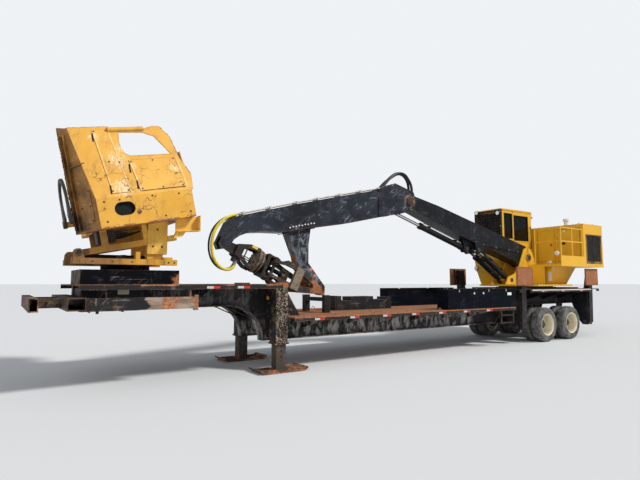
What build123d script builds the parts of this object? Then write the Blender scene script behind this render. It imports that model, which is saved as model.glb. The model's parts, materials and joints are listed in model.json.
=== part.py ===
from build123d import *
import math
import os

# Trailer-mounted log loader, millimetres, +Z up, +X to the trailer's rear.
# Places along X are measured from the front legs; STAND_MIDDLE then moves the
# whole model so that its origin lies under the middle of its box.

# Trailer
HALF_WIDTH = 1220
NECK_TOP = 1620
NECK_BOTTOM = 1210
NECK_FRONT = -3240
NECK_REAR = 270
LOW_TOP = 1010
LOW_BOTTOM = 540
LOW_FRONT = 600
LOW_REAR = 6850
REAR_TOP = 1460
REAR_BOTTOM = 1000
REAR_FRONT = 7200
REAR_END = 11300
DECK_T = 20
EDGE_DEPTH = 80
EDGE_T = 12
RAIL_Y = 460
RAIL_FLANGE_W = 200
RAIL_FLANGE_T = 22
RAIL_WEB_T = 16
KNEE_X = -760
KNEE_FOOT_X = -70

# Kingpin and front bars
KINGPIN_X = -2900
KINGPIN_R = 25.4
KINGPIN_LENGTH = 70
KING_PLATE_T = 20
BAR_FRONT = -3960
BAR_TOP = 1430
BAR_BOTTOM = 1240
SIDE_BEAM_FRONT = -3230
SIDE_BEAM_REAR = -1620

# Front legs
LEG_X = 140
LEG_Y = 840
LEG_W = 200
SLEEVE_W = 250
SLEEVE_WALL = 18
SLEEVE_BOTTOM = 500
SLEEVE_TOP = 1640
COLLAR_H = 60
FOOT_L = 800
FOOT_W = 560
FOOT_T = 25
SLIDE_GAP = 0.3
LEG_TRAVEL = 400

# Wheels
TYRE_R = 475
TYRE_W = 255
RIM_R = 286
AXLE_X = (8470, 9700)
AXLE_R = 64
SPINDLE_R = 40
PIN_GAP = 0.3
WHEEL_OUTER_Y = 1200
DUAL_GAP = 70
HUB_R = 130

# Stabilizers, folded up
STAB_X = (7550, 11030)
STAB_PIVOT_Y = 950
STAB_PIVOT_Z = 450
STAB_ARM_W = 190
STAB_PLATE_T = 20
STAB_GAP = 6
STAB_PIN_R = 40
STAB_TOP = 2070
PAD_L = 700
PAD_H = 510
PAD_T = 40
PAD_Y = 1160

# Swing and upper frame
SWING_X = 9300
SWING_HALF_L = 1350
SWING_HALF_W = 1000
RING_R = 780
TABLE_Z = 1500
SWING_Z = 1540
SWING_PLATE_T = 50
UPPER_Z = 2120
UPPER_T = 60
UPPER_REAR = 11600
UPPER_HALF = 1260

# Boom, stick and their cylinders, as seen from the near side
BOOM_HALF = 200
BOOM_PIN = (9100, 2400)
ELBOW_PIN = (4200, 3680)
LIFT_BASE = (8250, 1720)
LIFT_EYE = (6850, 2550)
STICK_BASE = (6520, 2580)
STICK_EYE = (3720, 3440)
BOOM_LIFT_MAX = 55
STICK_OPEN_MAX = 24
LIFT_Y = 140
BARREL_R = 78
ROD_R = 42
EYE_R = 85
EYE_HALF = 48
PIN_R = 38
LUG_T = 26
BRACKET_T = 34

STICK_TOP = [(-480, 2950), (860, 3310), (1990, 3590), (3300, 3900)]
PIPE_START, PIPE_END = -420, 3250
PIPE_Y = (-80, -30, 30, 80)
PIPE_R = 14
PIPE_RISE = 40

# Grapple
HANGER_PIN = (-660, 2420)
GRAPPLE_DIP = 24.8
GRAPPLE_RING_R = 245
TONG_OPEN_MAX = 50
TONG_G = 1150
TONG_Y = 120
TONG_PIN_R = 35
HEEL_HALF = 100
HEEL_CLEAR = HEEL_HALF + 14

# Cab and engine housing
CAB_X0, CAB_X1 = 8670, 10200
CAB_Y0, CAB_Y1 = 292, 1290
CAB_TOP = 3930
CAB_WALL = 40
HOUSE_X0, HOUSE_X1 = 10450, 11570
HOUSE_TOP = 3430
HOUSE_WALL = 40
STACK = (11250, -300)
STACK_H = 310

# Delimber
DELIMBER_TILT = 12
DELIMBER_FOOT = (-3060, 2480)
DELIMBER_L = 1530
DELIMBER_H = 1660
DELIMBER_HALF = 1000
DELIMBER_TOP_HALF = 600
BAND_H = 450
SHEET_T = 14
THROAT_HALF = 360
BASE_X0, BASE_X1 = -3260, -1690
BASE_HALF = 550
BASE_TOP = 1860
TURN_X = -2475
TURN_Z = 1945
TILT_PIN = (-3300, 2110)
COLUMN_X0, COLUMN_X1 = -2260, -1930
BLOCK_TOP = 2130
POST_TOP = 1380
BEAM_Y = 540
TURN_R = 400
TILT_PIN_R = 30
KNIFE_Y = 430
KNIFE_W = 230
KNIFE_R = 330
KNIFE_PIN_R = 28
THROAT_W = 560
KNIFE_U = -320
FAR_TOWER_H = 1125

# Hoses
HOSE_R = 14
HOSE_BLOCK_X = 4400
BOOM_TOP = [(4330, 3850), (5300, 3660)]
HOSE_BLOCK_TOP = BOOM_TOP[0][1] + (HOSE_BLOCK_X - BOOM_TOP[0][0]) * (
    BOOM_TOP[1][1] - BOOM_TOP[0][1]) / (BOOM_TOP[1][0] - BOOM_TOP[0][0]) + 64
HANGER_BLOCK = 215

STAND_MIDDLE = (BAR_FRONT + UPPER_REAR) / 2


def box(x0, x1, y0, y1, z0, z1):
    """Block between two corners."""
    size = (x1 - x0, y1 - y0, z1 - z0)
    return Pos((x0 + x1) / 2, (y0 + y1) / 2, (z0 + z1) / 2) * Box(*size)


def slab(points, y0, y1):
    """Side outline of (X, Z) points, extruded from y0 to y1."""
    outline = Polyline(*[(x, y0, z) for x, z in points], close=True)
    return extrude(make_face(outline), amount=y1 - y0, dir=(0, 1, 0))


def slab_x(points, x0, x1):
    """Cross outline of (Y, Z) points, extruded from x0 to x1."""
    outline = Polyline(*[(x0, y, z) for y, z in points], close=True)
    return extrude(make_face(outline), amount=x1 - x0, dir=(1, 0, 0))


def slab_z(points, z0, z1):
    """Plan outline of (X, Y) points, extruded from z0 to z1."""
    outline = Polyline(*[(x, y, z0) for x, y in points], close=True)
    return extrude(make_face(outline), amount=z1 - z0, dir=(0, 0, 1))


def bar(a, b, r):
    """Round bar between two points."""
    run = Vector(*b) - Vector(*a)
    place = Plane(origin=a, z_dir=run)
    return place * Cylinder(r, run.length, align=(Align.CENTER, Align.CENTER, Align.MIN))


def pin_y(place, r, y0, y1):
    """Round bar across the machine at an (X, Z) place."""
    return bar((place[0], y0, place[1]), (place[0], y1, place[1]), r)


def tube_frame(points, r):
    """Round tubes from point to point, with ball corners."""
    pieces = [bar(a, b, r) for a, b in zip(points, points[1:])]
    pieces += [Pos(*p) * Sphere(r) for p in points[1:-1]]
    return fuse(pieces)


def fuse(pieces):
    """All pieces as one solid."""
    whole = pieces[0]
    for piece in pieces[1:]:
        whole = whole + piece
    return whole


def far(solid):
    """The same piece on the far side."""
    return mirror(solid, about=Plane.XZ)


def pair(solid):
    """A piece and its mirror image, as two solids."""
    return [solid, far(solid)]


def rail_face():
    """Side view of a main rail: neck, knee, low deck and rear rise."""
    top = [
        (KNEE_X, NECK_BOTTOM), (NECK_FRONT, NECK_BOTTOM),
        (NECK_FRONT, NECK_TOP - DECK_T), (NECK_REAR, NECK_TOP - DECK_T),
        (LOW_FRONT, LOW_TOP - DECK_T), (LOW_REAR, LOW_TOP - DECK_T),
        (REAR_FRONT, REAR_TOP - DECK_T), (REAR_END, REAR_TOP - DECK_T),
        (REAR_END, REAR_BOTTOM), (REAR_FRONT + 350, REAR_BOTTOM),
        (LOW_REAR + 150, LOW_BOTTOM), (KNEE_FOOT_X, LOW_BOTTOM),
    ]
    knee_r = math.hypot(KNEE_FOOT_X - KNEE_X, NECK_BOTTOM - LOW_BOTTOM)
    middle = ((KNEE_X + KNEE_FOOT_X) / 2 + 0.15 * knee_r,
              (NECK_BOTTOM + LOW_BOTTOM) / 2 + 0.15 * knee_r)
    run = [(x, 0, z) for x, z in top]
    arc = ThreePointArc(run[-1], (middle[0], 0, middle[1]), run[0])
    return make_face([*Polyline(*run).edges(), arc])


def main_frame():
    """Two I rails, cross members and the outriggers under the decks."""
    face = rail_face()
    half = RAIL_FLANGE_W / 2
    solid_rail = extrude(face, amount=RAIL_FLANGE_W, dir=(0, 1, 0))
    pocket = extrude(offset(face, -RAIL_FLANGE_T), amount=RAIL_FLANGE_W, dir=(0, 1, 0))
    side = (RAIL_FLANGE_W + RAIL_WEB_T) / 2
    rail = solid_rail - Pos(0, side, 0) * pocket - Pos(0, -side, 0) * pocket
    rail = Pos(0, RAIL_Y - half, 0) * rail
    pieces = [rail, far(rail)]
    # cross members: X, lower Z, upper Z
    for x, z0, z1 in [
        (NECK_FRONT + 60, 1260, 1560), (-2200, 1300, 1560), (-1200, 1300, 1560),
        (LEG_X, 700, 1000), (1500, 640, 900), (3000, 640, 900), (4500, 640, 900),
        (6000, 640, 900), (7300, 1050, 1400), (9085, 1050, 1400), (10500, 1050, 1400),
        (REAR_END - 60, 1050, 1400),
    ]:
        pieces.append(box(x - 40, x + 40, -RAIL_Y, RAIL_Y, z0, z1))
    # outriggers: X, top, depth at the rail
    neck = [(x, NECK_TOP - DECK_T, 300) for x in (-3000, -2150, -1350, -600)]
    low = [(x, LOW_TOP - DECK_T, 260) for x in (900, 1900, 2900, 3900, 4900, 5900)]
    rear = [(x, REAR_TOP - DECK_T, 300) for x in (7900, 8650, 9450, 10250)]
    for x, top, depth in neck + low + rear:
        rib = slab_x([(RAIL_Y, top), (HALF_WIDTH - EDGE_T, top),
                      (HALF_WIDTH - EDGE_T, top - 60), (RAIL_Y, top - depth)], x, x + 14)
        pieces += pair(rib)
    return [fuse(pieces)]


def deck_edge(x0, x1, top):
    """Angle along the side of a deck."""
    edge = box(x0, x1, HALF_WIDTH - EDGE_T, HALF_WIDTH, top - EDGE_DEPTH, top - DECK_T)
    return pair(edge)


def decks():
    """Neck, low and rear deck plates, the sloped plates between and the edges."""
    inner = RAIL_Y + RAIL_FLANGE_W / 2
    neck = box(NECK_FRONT - 110, NECK_REAR, -HALF_WIDTH, HALF_WIDTH, NECK_TOP - DECK_T, NECK_TOP)
    low = box(NECK_REAR, LOW_REAR + 150, -HALF_WIDTH, HALF_WIDTH, LOW_TOP - DECK_T, LOW_TOP)
    rear = box(REAR_FRONT, REAR_END, -HALF_WIDTH, HALF_WIDTH, REAR_TOP - DECK_T, REAR_TOP)
    for x0, x1 in [(NECK_REAR - 1, LOW_FRONT), (LOW_REAR, REAR_FRONT - 1)]:
        low -= box(x0, x1, -inner, inner, 0, 3000)
    knee = slab([(NECK_REAR, NECK_TOP), (NECK_REAR, NECK_TOP - DECK_T),
                 (LOW_FRONT, LOW_TOP - DECK_T), (LOW_FRONT, LOW_TOP)], -inner, inner)
    riser = slab([(LOW_REAR, LOW_TOP), (LOW_REAR, LOW_TOP - DECK_T),
                  (REAR_FRONT, REAR_TOP - DECK_T), (REAR_FRONT, REAR_TOP)], -inner, inner)
    front = LEG_X - SLEEVE_W / 2
    for cutter in pair(box(front, NECK_REAR + 1, LEG_Y - SLEEVE_W / 2, HALF_WIDTH + 1, 1400, 1700)):
        neck -= cutter
    edges = deck_edge(NECK_FRONT - 110, front, NECK_TOP)
    edges += deck_edge(NECK_REAR, LOW_REAR + 150, LOW_TOP)
    edges += deck_edge(REAR_FRONT, REAR_END, REAR_TOP)
    plates = fuse([neck, low, rear, knee, riser, *edges])
    for x in STAB_X:
        half = STAB_ARM_W / 2 + STAB_GAP + STAB_PLATE_T
        for cutter in pair(box(x - half, x + half, 740, HALF_WIDTH + 10, 1100, 2000)):
            plates -= cutter
    return [plates]


def kingpin():
    """Kingpin plate under the neck with its pin."""
    plate = box(NECK_FRONT, KINGPIN_X + 560, -560, 560, NECK_BOTTOM - KING_PLATE_T, NECK_BOTTOM)
    low = NECK_BOTTOM - KING_PLATE_T
    shank = bar((KINGPIN_X, 0, low), (KINGPIN_X, 0, low - KINGPIN_LENGTH), KINGPIN_R)
    return [plate + shank]


def skidder_bar():
    """Cross tubes ahead of the neck and the long side beams below it."""
    pieces = []
    # cross tubes: front, rear
    for x0, x1 in [(BAR_FRONT, BAR_FRONT + 120), (-3490, NECK_FRONT)]:
        tube = box(x0, x1, -HALF_WIDTH, HALF_WIDTH, BAR_BOTTOM, BAR_TOP)
        hollow = box(x0 + 14, x1 - 14, -HALF_WIDTH - 1, HALF_WIDTH + 1, BAR_BOTTOM + 14, BAR_TOP - 14)
        pieces.append(tube - hollow)
    middle = (BAR_TOP + BAR_BOTTOM) / 2
    pieces.append(pin_y((-3665, middle), 45, -900, 900))
    for side in (-1, 1):
        y = side * 420
        pieces.append(box(BAR_FRONT + 120, -3490, y - 50, y + 50, BAR_BOTTOM + 20, BAR_TOP - 20))
    beam = box(SIDE_BEAM_FRONT, SIDE_BEAM_REAR, 1080, 1200, BAR_BOTTOM - 10, BAR_TOP - 10)
    hanger = fuse([box(x, x + 16, 1090, 1190, BAR_TOP - 10, NECK_TOP - DECK_T)
                   for x in (-2980, -1700)])
    hook = box(SIDE_BEAM_REAR, SIDE_BEAM_REAR + 60, 1095, 1185, BAR_BOTTOM - 40, BAR_TOP + 20)
    web = RAIL_Y + RAIL_WEB_T / 2
    ties = fuse([box(x, x + 80, web, 1080, BAR_BOTTOM + 20, BAR_TOP - 40) for x in (-2940, -2040)])
    return [fuse(pieces), *pair(fuse([beam, hook, ties]) + hanger)]


def leg_sleeves():
    """Square sleeves welded beside the neck, with caps, collars and gussets."""
    half = SLEEVE_W / 2
    bore = half - SLEEVE_WALL
    guide = LEG_W / 2 + SLIDE_GAP
    tube = box(LEG_X - half, LEG_X + half, LEG_Y - half, LEG_Y + half, SLEEVE_BOTTOM, SLEEVE_TOP)
    tube -= box(LEG_X - bore, LEG_X + bore, LEG_Y - bore, LEG_Y + bore,
                SLEEVE_BOTTOM + COLLAR_H, SLEEVE_TOP - 20)
    tube -= box(LEG_X - guide, LEG_X + guide, LEG_Y - guide, LEG_Y + guide,
                SLEEVE_BOTTOM - 1, SLEEVE_BOTTOM + COLLAR_H + 1)
    collar = box(LEG_X - half - 20, LEG_X + half + 20, LEG_Y - half - 20, LEG_Y + half + 20,
                 SLEEVE_BOTTOM, SLEEVE_BOTTOM + 35)
    collar -= box(LEG_X - half, LEG_X + half, LEG_Y - half, LEG_Y + half, 0, 3000)
    inner = RAIL_Y + RAIL_FLANGE_W / 2
    front = LEG_X - half
    wing = box(front, front + 20, inner, LEG_Y - half, 600, NECK_TOP - DECK_T)
    back = slab([(LEG_X + half, NECK_TOP - DECK_T), (LEG_X + half, LOW_TOP),
                 (LEG_X + half + 360, LOW_TOP)], LEG_Y - 60, LEG_Y - 40)
    web = box(front, LEG_X + half, inner, LEG_Y - half, 700, 720)
    return pair(fuse([tube, collar, wing, back, web]))


def leg():
    """Sliding leg with its wide bent foot plate, near side."""
    half = LEG_W / 2
    post = box(LEG_X - half, LEG_X + half, -LEG_Y - half, -LEG_Y + half, FOOT_T,
               SLEEVE_TOP - LEG_TRAVEL - 40)
    foot = box(LEG_X - FOOT_L / 2, LEG_X + FOOT_L / 2, -LEG_Y - FOOT_W / 2,
               -LEG_Y + FOOT_W / 2, 0, FOOT_T)
    lips = []
    for side in (-1, 1):
        x = LEG_X + side * FOOT_L / 2
        lips.append(slab([(x, 0), (x, FOOT_T), (x + side * 90, 75), (x + side * 90, 50)],
                         -LEG_Y - FOOT_W / 2, -LEG_Y + FOOT_W / 2))
        lips.append(slab([(LEG_X + side * half, FOOT_T), (LEG_X + side * half, 90),
                          (LEG_X + side * (half + 120), FOOT_T)], -LEG_Y - 10, -LEG_Y + 10))
    return [fuse([post, foot, *lips])]


def boom_rest():
    """Posts and cross bar under the heel, and the log bunk behind them."""
    post = box(1460, 1590, 340, 460, LOW_TOP, POST_TOP)
    saddle = box(1460, 1590, -340, 340, 1250, 1330)
    rest = fuse([*pair(post), saddle])
    # bunk: X from, X to, height above the deck
    steps = [(2100, 2270, 330), (2270, 2560, 220), (2560, 3220, 310), (3220, 3640, 230), (3640, 3790, 290)]
    bunk = fuse([box(x0, x1, 60, 420, LOW_TOP, LOW_TOP + h) for x0, x1, h in steps])
    return [rest, bunk]


def tool_boxes():
    """Long boxes on the rear of the low deck, one on each side."""
    body = box(4430, 7000, 860, 1215, LOW_TOP, 1480)
    lid = box(4420, 7010, 850, 1218, 1480, 1495)
    return pair(fuse([body, lid]))


def ladder():
    """Steps that hang below the deck edge on the near side."""
    rails = []
    for x in (6400, 6900):
        rails.append(box(x, x + 40, -1195, -1150, 590, LOW_TOP - DECK_T))
    rungs = [box(6400, 6940, -1190, -1110, z, z + 25) for z in (600, 790, 930)]
    return [fuse(rails + rungs)]


def running_gear():
    """Axles, leaf springs, hangers and brake drums' backing plates."""
    pieces = []
    for x in AXLE_X:
        pieces.append(bar((x, -600, TYRE_R), (x, 600, TYRE_R), AXLE_R))
        pieces.append(bar((x, -1040, TYRE_R), (x, 1040, TYRE_R), SPINDLE_R))
        for y in (-600, 590):
            pieces.append(bar((x, y, TYRE_R), (x, y + 10, TYRE_R), 190))
    gap = AXLE_X[1] - AXLE_X[0]
    hangers = [AXLE_X[0] - gap / 2, (AXLE_X[0] + AXLE_X[1]) / 2, AXLE_X[1] + gap / 2]
    for y0, y1 in [(-520, -440), (440, 520)]:
        for x in hangers:
            pieces.append(slab([(x - 110, REAR_BOTTOM), (x + 110, REAR_BOTTOM),
                                (x + 50, 600), (x - 50, 600)], y0, y1))
        for x in AXLE_X:
            low, high, thick = TYRE_R + 45, 650, 70
            pieces.append(box(x - 70, x + 70, y0, y1, TYRE_R, low + 25))
            pieces.append(slab([(x - gap / 2, high), (x - 150, low + 20), (x + 150, low + 20),
                                (x + gap / 2, high), (x + gap / 2, high + thick),
                                (x + 150, low + 20 + thick), (x - 150, low + 20 + thick),
                                (x - gap / 2, high + thick)], y0 + 2, y1 - 2))
    return [fuse(pieces)]


def stabilizer_pockets():
    """Hinge plates under the rear deck for the four stabilizers."""
    solids = []
    for x in STAB_X:
        inner = STAB_ARM_W / 2 + STAB_GAP
        plates = []
        for x0 in (x - inner - STAB_PLATE_T, x + inner):
            plates.append(slab_x([(560, REAR_BOTTOM), (700, 560), (870, 350), (1030, 350),
                                  (1060, 560), (1060, REAR_TOP - DECK_T), (560, REAR_TOP - DECK_T)],
                                 x0, x0 + STAB_PLATE_T))
        back = box(x - inner, x + inner, 560, 600, REAR_BOTTOM, REAR_TOP - DECK_T)
        pin = bar((x - inner - 50, STAB_PIVOT_Y, STAB_PIVOT_Z),
                  (x + inner + 50, STAB_PIVOT_Y, STAB_PIVOT_Z), STAB_PIN_R)
        solids += pair(fuse([*plates, back, pin]))
    return solids


def stabilizer(x):
    """Folded arm with its ground pad facing outwards, near side."""
    half = STAB_ARM_W / 2
    arm = slab_x([(-830, 420), (-900, 350), (-1000, 350), (-1090, 430), (-1110, 1300),
                  (-1110, STAB_TOP - 40), (-1010, STAB_TOP - 60), (-940, 1500), (-800, 1250)],
                 x - half, x + half)
    arm -= bar((x - 200, -STAB_PIVOT_Y, STAB_PIVOT_Z), (x + 200, -STAB_PIVOT_Y, STAB_PIVOT_Z),
               STAB_PIN_R + PIN_GAP)
    pad = box(x - PAD_L / 2, x + PAD_L / 2, -PAD_Y, -PAD_Y + PAD_T, STAB_TOP - PAD_H, STAB_TOP)
    ribs = [slab_x([(-1120, STAB_TOP - PAD_H), (-1120, STAB_TOP), (-1060, STAB_TOP - 60),
                    (-1060, STAB_TOP - PAD_H + 60)], x + side * 200 - 8, x + side * 200 + 8)
            for side in (-1, 1)]
    cross = box(x - 200, x + 200, -1120, -1080, 1780, 1850)
    return [fuse([arm, pad, cross, *ribs])]


def turntable_base():
    """Base plate and fixed ring of the swing bearing."""
    plate = box(SWING_X - 1400, SWING_X + 1400, -900, 900, REAR_TOP, TABLE_Z)
    ring = bar((SWING_X, 0, TABLE_Z), (SWING_X, 0, SWING_Z - PIN_GAP), RING_R)
    return [plate + ring]


def tyre_solid(y0):
    """One tyre with its inner face at y0."""
    w = TYRE_W
    # section: share of width, radius
    rows = [(0.08, RIM_R), (0.0, 340), (0.0, 420), (0.09, 462), (0.2, TYRE_R),
            (0.8, TYRE_R), (0.91, 462), (1.0, 420), (1.0, 340), (0.92, RIM_R)]
    points = [(r, y0 + share * w, 0) for share, r in rows]
    return revolve(make_face(Polyline(*points, close=True)), axis=Axis.Y)


def wheel_tyres(x):
    """The two tyres of a near side dual wheel."""
    outer = -WHEEL_OUTER_Y
    inner = outer + TYRE_W + DUAL_GAP
    return [Pos(x, 0, TYRE_R) * tyre_solid(y) for y in (outer, inner)]


def wheel_rims(x):
    """Both rims, their discs and the hub of a near side dual wheel."""
    outer = -WHEEL_OUTER_Y
    seat = RIM_R - PIN_GAP
    middle = outer + TYRE_W + DUAL_GAP / 2
    pieces = []
    for start, side in [(outer, 1), (outer + 2 * TYRE_W + DUAL_GAP, -1)]:
        # half section of a rim from its open edge: depth, radius
        rows = [(0, 300), (12, 300), (12, seat), (250, seat), (252, 250), (285, 150), (290, 60),
                (272, 60), (266, 150), (236, 236), (226, 262), (0, 268)]
        points = [(r, start + side * depth, 0) for depth, r in rows]
        pieces.append(revolve(make_face(Polyline(*points, close=True)), axis=Axis.Y))
    hub = bar((0, middle - 130, 0), (0, middle + 200, 0), HUB_R)
    drum = bar((0, middle + 60, 0), (0, middle + 260, 0), 200)
    cap = bar((0, middle - 170, 0), (0, middle - 130, 0), 80)
    hub = fuse([*pieces, hub, drum, cap])
    hub -= bar((0, -1045, 0), (0, 0, 0), SPINDLE_R + PIN_GAP)
    return [Pos(x, 0, TYRE_R) * hub]


def swing_frame():
    """Swing plate, boom bracket, tapered lower body and the upper deck."""
    top = SWING_Z + SWING_PLATE_T
    l, w, c = SWING_HALF_L, SWING_HALF_W, 450
    outline = [(-l, c - w), (c - l, -w), (l - c, -w), (l, c - w), (l, w - c), (l - c, w),
               (c - l, w), (-l, w - c)]
    plate = slab_z([(SWING_X + x, y) for x, y in outline], SWING_Z, top)
    side = [(7960, top), (8080, 1800), (8400, 1900), (8640, 2140), (8900, 2640), (9010, 2690),
            (9190, 2690), (9330, 2560), (9400, 2400), (9460, UPPER_Z), (9900, top)]
    inner = BOOM_HALF + 28
    cheek = slab(side, inner, inner + BRACKET_T)
    base_pin = pin_y(LIFT_BASE, PIN_R, -inner, inner)
    foot_pin = pin_y(BOOM_PIN, 60, -inner, inner)
    bosses = [pin_y(BOOM_PIN, 110, s * (inner + BRACKET_T), s * (inner + BRACKET_T + 25)) for s in (-1, 1)]
    body_low = [(9450, -640), (10500, -640), (10500, 640), (9450, 640)]
    body_high = [(9450, -820), (10750, -820), (10750, 820), (9450, 820)]
    low_face = make_face(Polyline(*[(x, y, top) for x, y in body_low], close=True))
    high_face = make_face(Polyline(*[(x, y, UPPER_Z) for x, y in body_high], close=True))
    body = loft([low_face, high_face])
    brace = box(9180, 9240, -700, -inner - BRACKET_T, top, UPPER_Z)
    cab_brace = box(9300, 9400, inner + BRACKET_T, 900, top, UPPER_Z)
    return [fuse([plate, cheek, far(cheek), base_pin, foot_pin, *bosses, body, brace, cab_brace])]


def upper_deck():
    """Deck plate under the cab, the catwalk and the engine housing."""
    side = BOOM_HALF + 28 + BRACKET_T
    top = UPPER_Z + UPPER_T
    deck = box(9460, UPPER_REAR, -UPPER_HALF, UPPER_HALF, UPPER_Z, top)
    near = box(9180, 9460, -UPPER_HALF, -side, UPPER_Z, top)
    cab = box(CAB_X0 - 60, 9460, side, UPPER_HALF, UPPER_Z, top)
    return [fuse([deck, near, cab])]


def fluid_tank():
    """Tank ahead of the cab on the far side of the boom."""
    low = SWING_Z + SWING_PLATE_T
    body = slab([(8170, 2320), (8240, 2050), (8460, low), (9290, low), (9290, UPPER_Z),
                 (8600, UPPER_Z), (8600, 2320)], 300, 980)
    neck = bar((8380, 640, 2320), (8380, 640, 2370), 60)
    return [body + neck]


def knuckles(x, y, levels):
    """Knuckles of a door at each level."""
    return fuse([bar((x, y, z), (x, y, z + KNUCKLE_H), KNUCKLE_R) for z in levels])


def hinge_bore(x, y):
    """Cutter for the hole down a door's knuckles."""
    return bar((x, y, 2000), (x, y, 4000), HINGE_PIN_R + PIN_GAP)


def hinge_pins(x, y, levels, clear, seat):
    """Fixed pins with lugs above and below each knuckle; (X, Y) boxes for both steps of a lug."""
    pieces = []
    for z in levels:
        pieces.append(bar((x, y, z - 14), (x, y, z + KNUCKLE_H + 14), HINGE_PIN_R))
        for low in (z - 14, z + KNUCKLE_H + 2):
            pieces += [box(*clear, low, low + 12), box(*seat, low, low + 12)]
    return fuse(pieces)


def engine_housing():
    """Hollow housing with a door opening in front and a grille opening."""
    x0, x1, z0, z1 = HOUSE_X0, HOUSE_X1, UPPER_Z + UPPER_T, HOUSE_TOP
    w = HOUSE_WALL
    shell = box(x0, x1, -UPPER_HALF, UPPER_HALF, z0, z1)
    shell -= box(x0 + w, x1 - w, -UPPER_HALF + w, UPPER_HALF - w, z0 + w, z1 - w)
    door = box(x0 - 1, x0 + w + 1, HOUSE_DOOR[0], HOUSE_DOOR[1], HOUSE_DOOR[2], HOUSE_DOOR[3])
    grille = box(x0 + 190, x1 - 130, -UPPER_HALF - 1, -UPPER_HALF + w + 1, 2290, 3090)
    shell = shell - door - grille
    shell -= box(x0 + 190, x1 - 130, UPPER_HALF - w - 1, UPPER_HALF + 1, 2290, 3090)
    stack = bar((STACK[0], STACK[1], z1), (STACK[0], STACK[1], z1 + STACK_H), 60)
    stack += bar((STACK[0], STACK[1], z1 + STACK_H - 60), (STACK[0], STACK[1], z1 + STACK_H), 85)
    panel = box(x0 - 12, x0, -330, 200, 2330, 3320)
    lip = box(x0 - 12, x0, -1240, -1225, z0, z1)
    x, y = x0 - HINGE_OFF, HOUSE_DOOR[1]
    pins = hinge_pins(x, y, HOUSE_HINGES, (x - 8, x0 - 4, y - 8, y + 20), (x0 - 5, x0, y + 2, y + 20))
    return [fuse([shell, stack, panel, lip, pins])]


HOUSE_DOOR = (-1150, -450, 2300, 3320)
HOUSE_HINGES = (2450, 3100)
CAB_HINGES = (2500, 3500)
DOOR_GAP = 6
KNUCKLE_R = 12
KNUCKLE_H = 80
HINGE_PIN_R = 6
HINGE_OFF = 14


def housing_grille():
    """Slatted grilles in the side openings of the housing."""
    x0, x1 = HOUSE_X0 + 190, HOUSE_X1 - 130
    bars = [box(x0, x1, -UPPER_HALF + 5, -UPPER_HALF + 25, z, z + 22) for z in range(2300, 3060, 60)]
    posts = [box(x, x + 25, -UPPER_HALF + 8, -UPPER_HALF + 36, 2290, 3090)
             for x in (x0, (x0 + x1) / 2 - 12, x1 - 25)]
    return pair(fuse(posts + bars))


def housing_door():
    """Service door in the front of the housing, over the catwalk."""
    y0, y1, z0, z1 = HOUSE_DOOR
    panel = box(HOUSE_X0, HOUSE_X0 + HOUSE_WALL - 8, y0 + DOOR_GAP, y1 - DOOR_GAP,
                z0 + DOOR_GAP, z1 - DOOR_GAP)
    hinge = HOUSE_X0 - HINGE_OFF
    leaves = []
    for z in HOUSE_HINGES:
        leaves.append(box(hinge, HOUSE_X0 + 4, y1 - 40, y1 - 8, z, z + KNUCKLE_H))
        leaves.append(box(hinge - 6, hinge + 6, y1 - 30, y1, z, z + KNUCKLE_H))
    handle = box(HOUSE_X0 - 26, HOUSE_X0, y0 + 60, y0 + 90, 2700, 2860)
    door = fuse([panel, knuckles(hinge, y1, HOUSE_HINGES), *leaves, handle])
    return [door - hinge_bore(hinge, y1)]


def engine_block():
    """The engine as one plain block inside the housing."""
    return [box(10700, 11350, -620, 700, UPPER_Z + UPPER_T + 40, 3080)]


def cab_shell():
    """Hollow cab with its window openings and door opening cut."""
    x0, x1, y0, y1 = CAB_X0, CAB_X1, CAB_Y0, CAB_Y1
    z0, z1, w = UPPER_Z + UPPER_T, CAB_TOP, CAB_WALL
    cab = box(x0, x1, y0, y1, z0, z1) - box(x0 + w, x1 - w, y0 + w, y1 - w, z0 + w, z1 - w)
    holes = [
        box(x0 + 90, x0 + 500, y0 - 1, y0 + w + 1, 3030, z1 - 110),
        box(x0 + 590, x1 - 190, y0 - 1, y0 + w + 1, 2980, z1 - 150),
        box(x0 - 1, x0 + w + 1, y0 + 70, y1 - 70, 2620, z1 - 90),
        box(x1 - w - 1, x1 + 1, y0 + 150, y1 - 150, 3000, z1 - 160),
        box(CAB_DOOR[0], CAB_DOOR[1], y1 - w - 1, y1 + 1, CAB_DOOR[2], CAB_DOOR[3]),
        box(x0 + 70, CAB_DOOR[0] - 70, y1 - w - 1, y1 + 1, 2900, z1 - 150),
    ]
    for hole in holes:
        cab -= hole
    roof = box(x0 - 60, x1 + 10, y0 - 10, y1 + 10, z1, z1 + 30)
    x, y = CAB_DOOR[1], y1 + HINGE_OFF
    pins = hinge_pins(x, y, CAB_HINGES, (x - 8, x + 20, y1 + 4, y + 8), (x + 2, x + 20, y1, y1 + 5))
    return [fuse([cab, roof, pins])]


CAB_DOOR = (9150, 9980, 2260, 3830)


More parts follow.
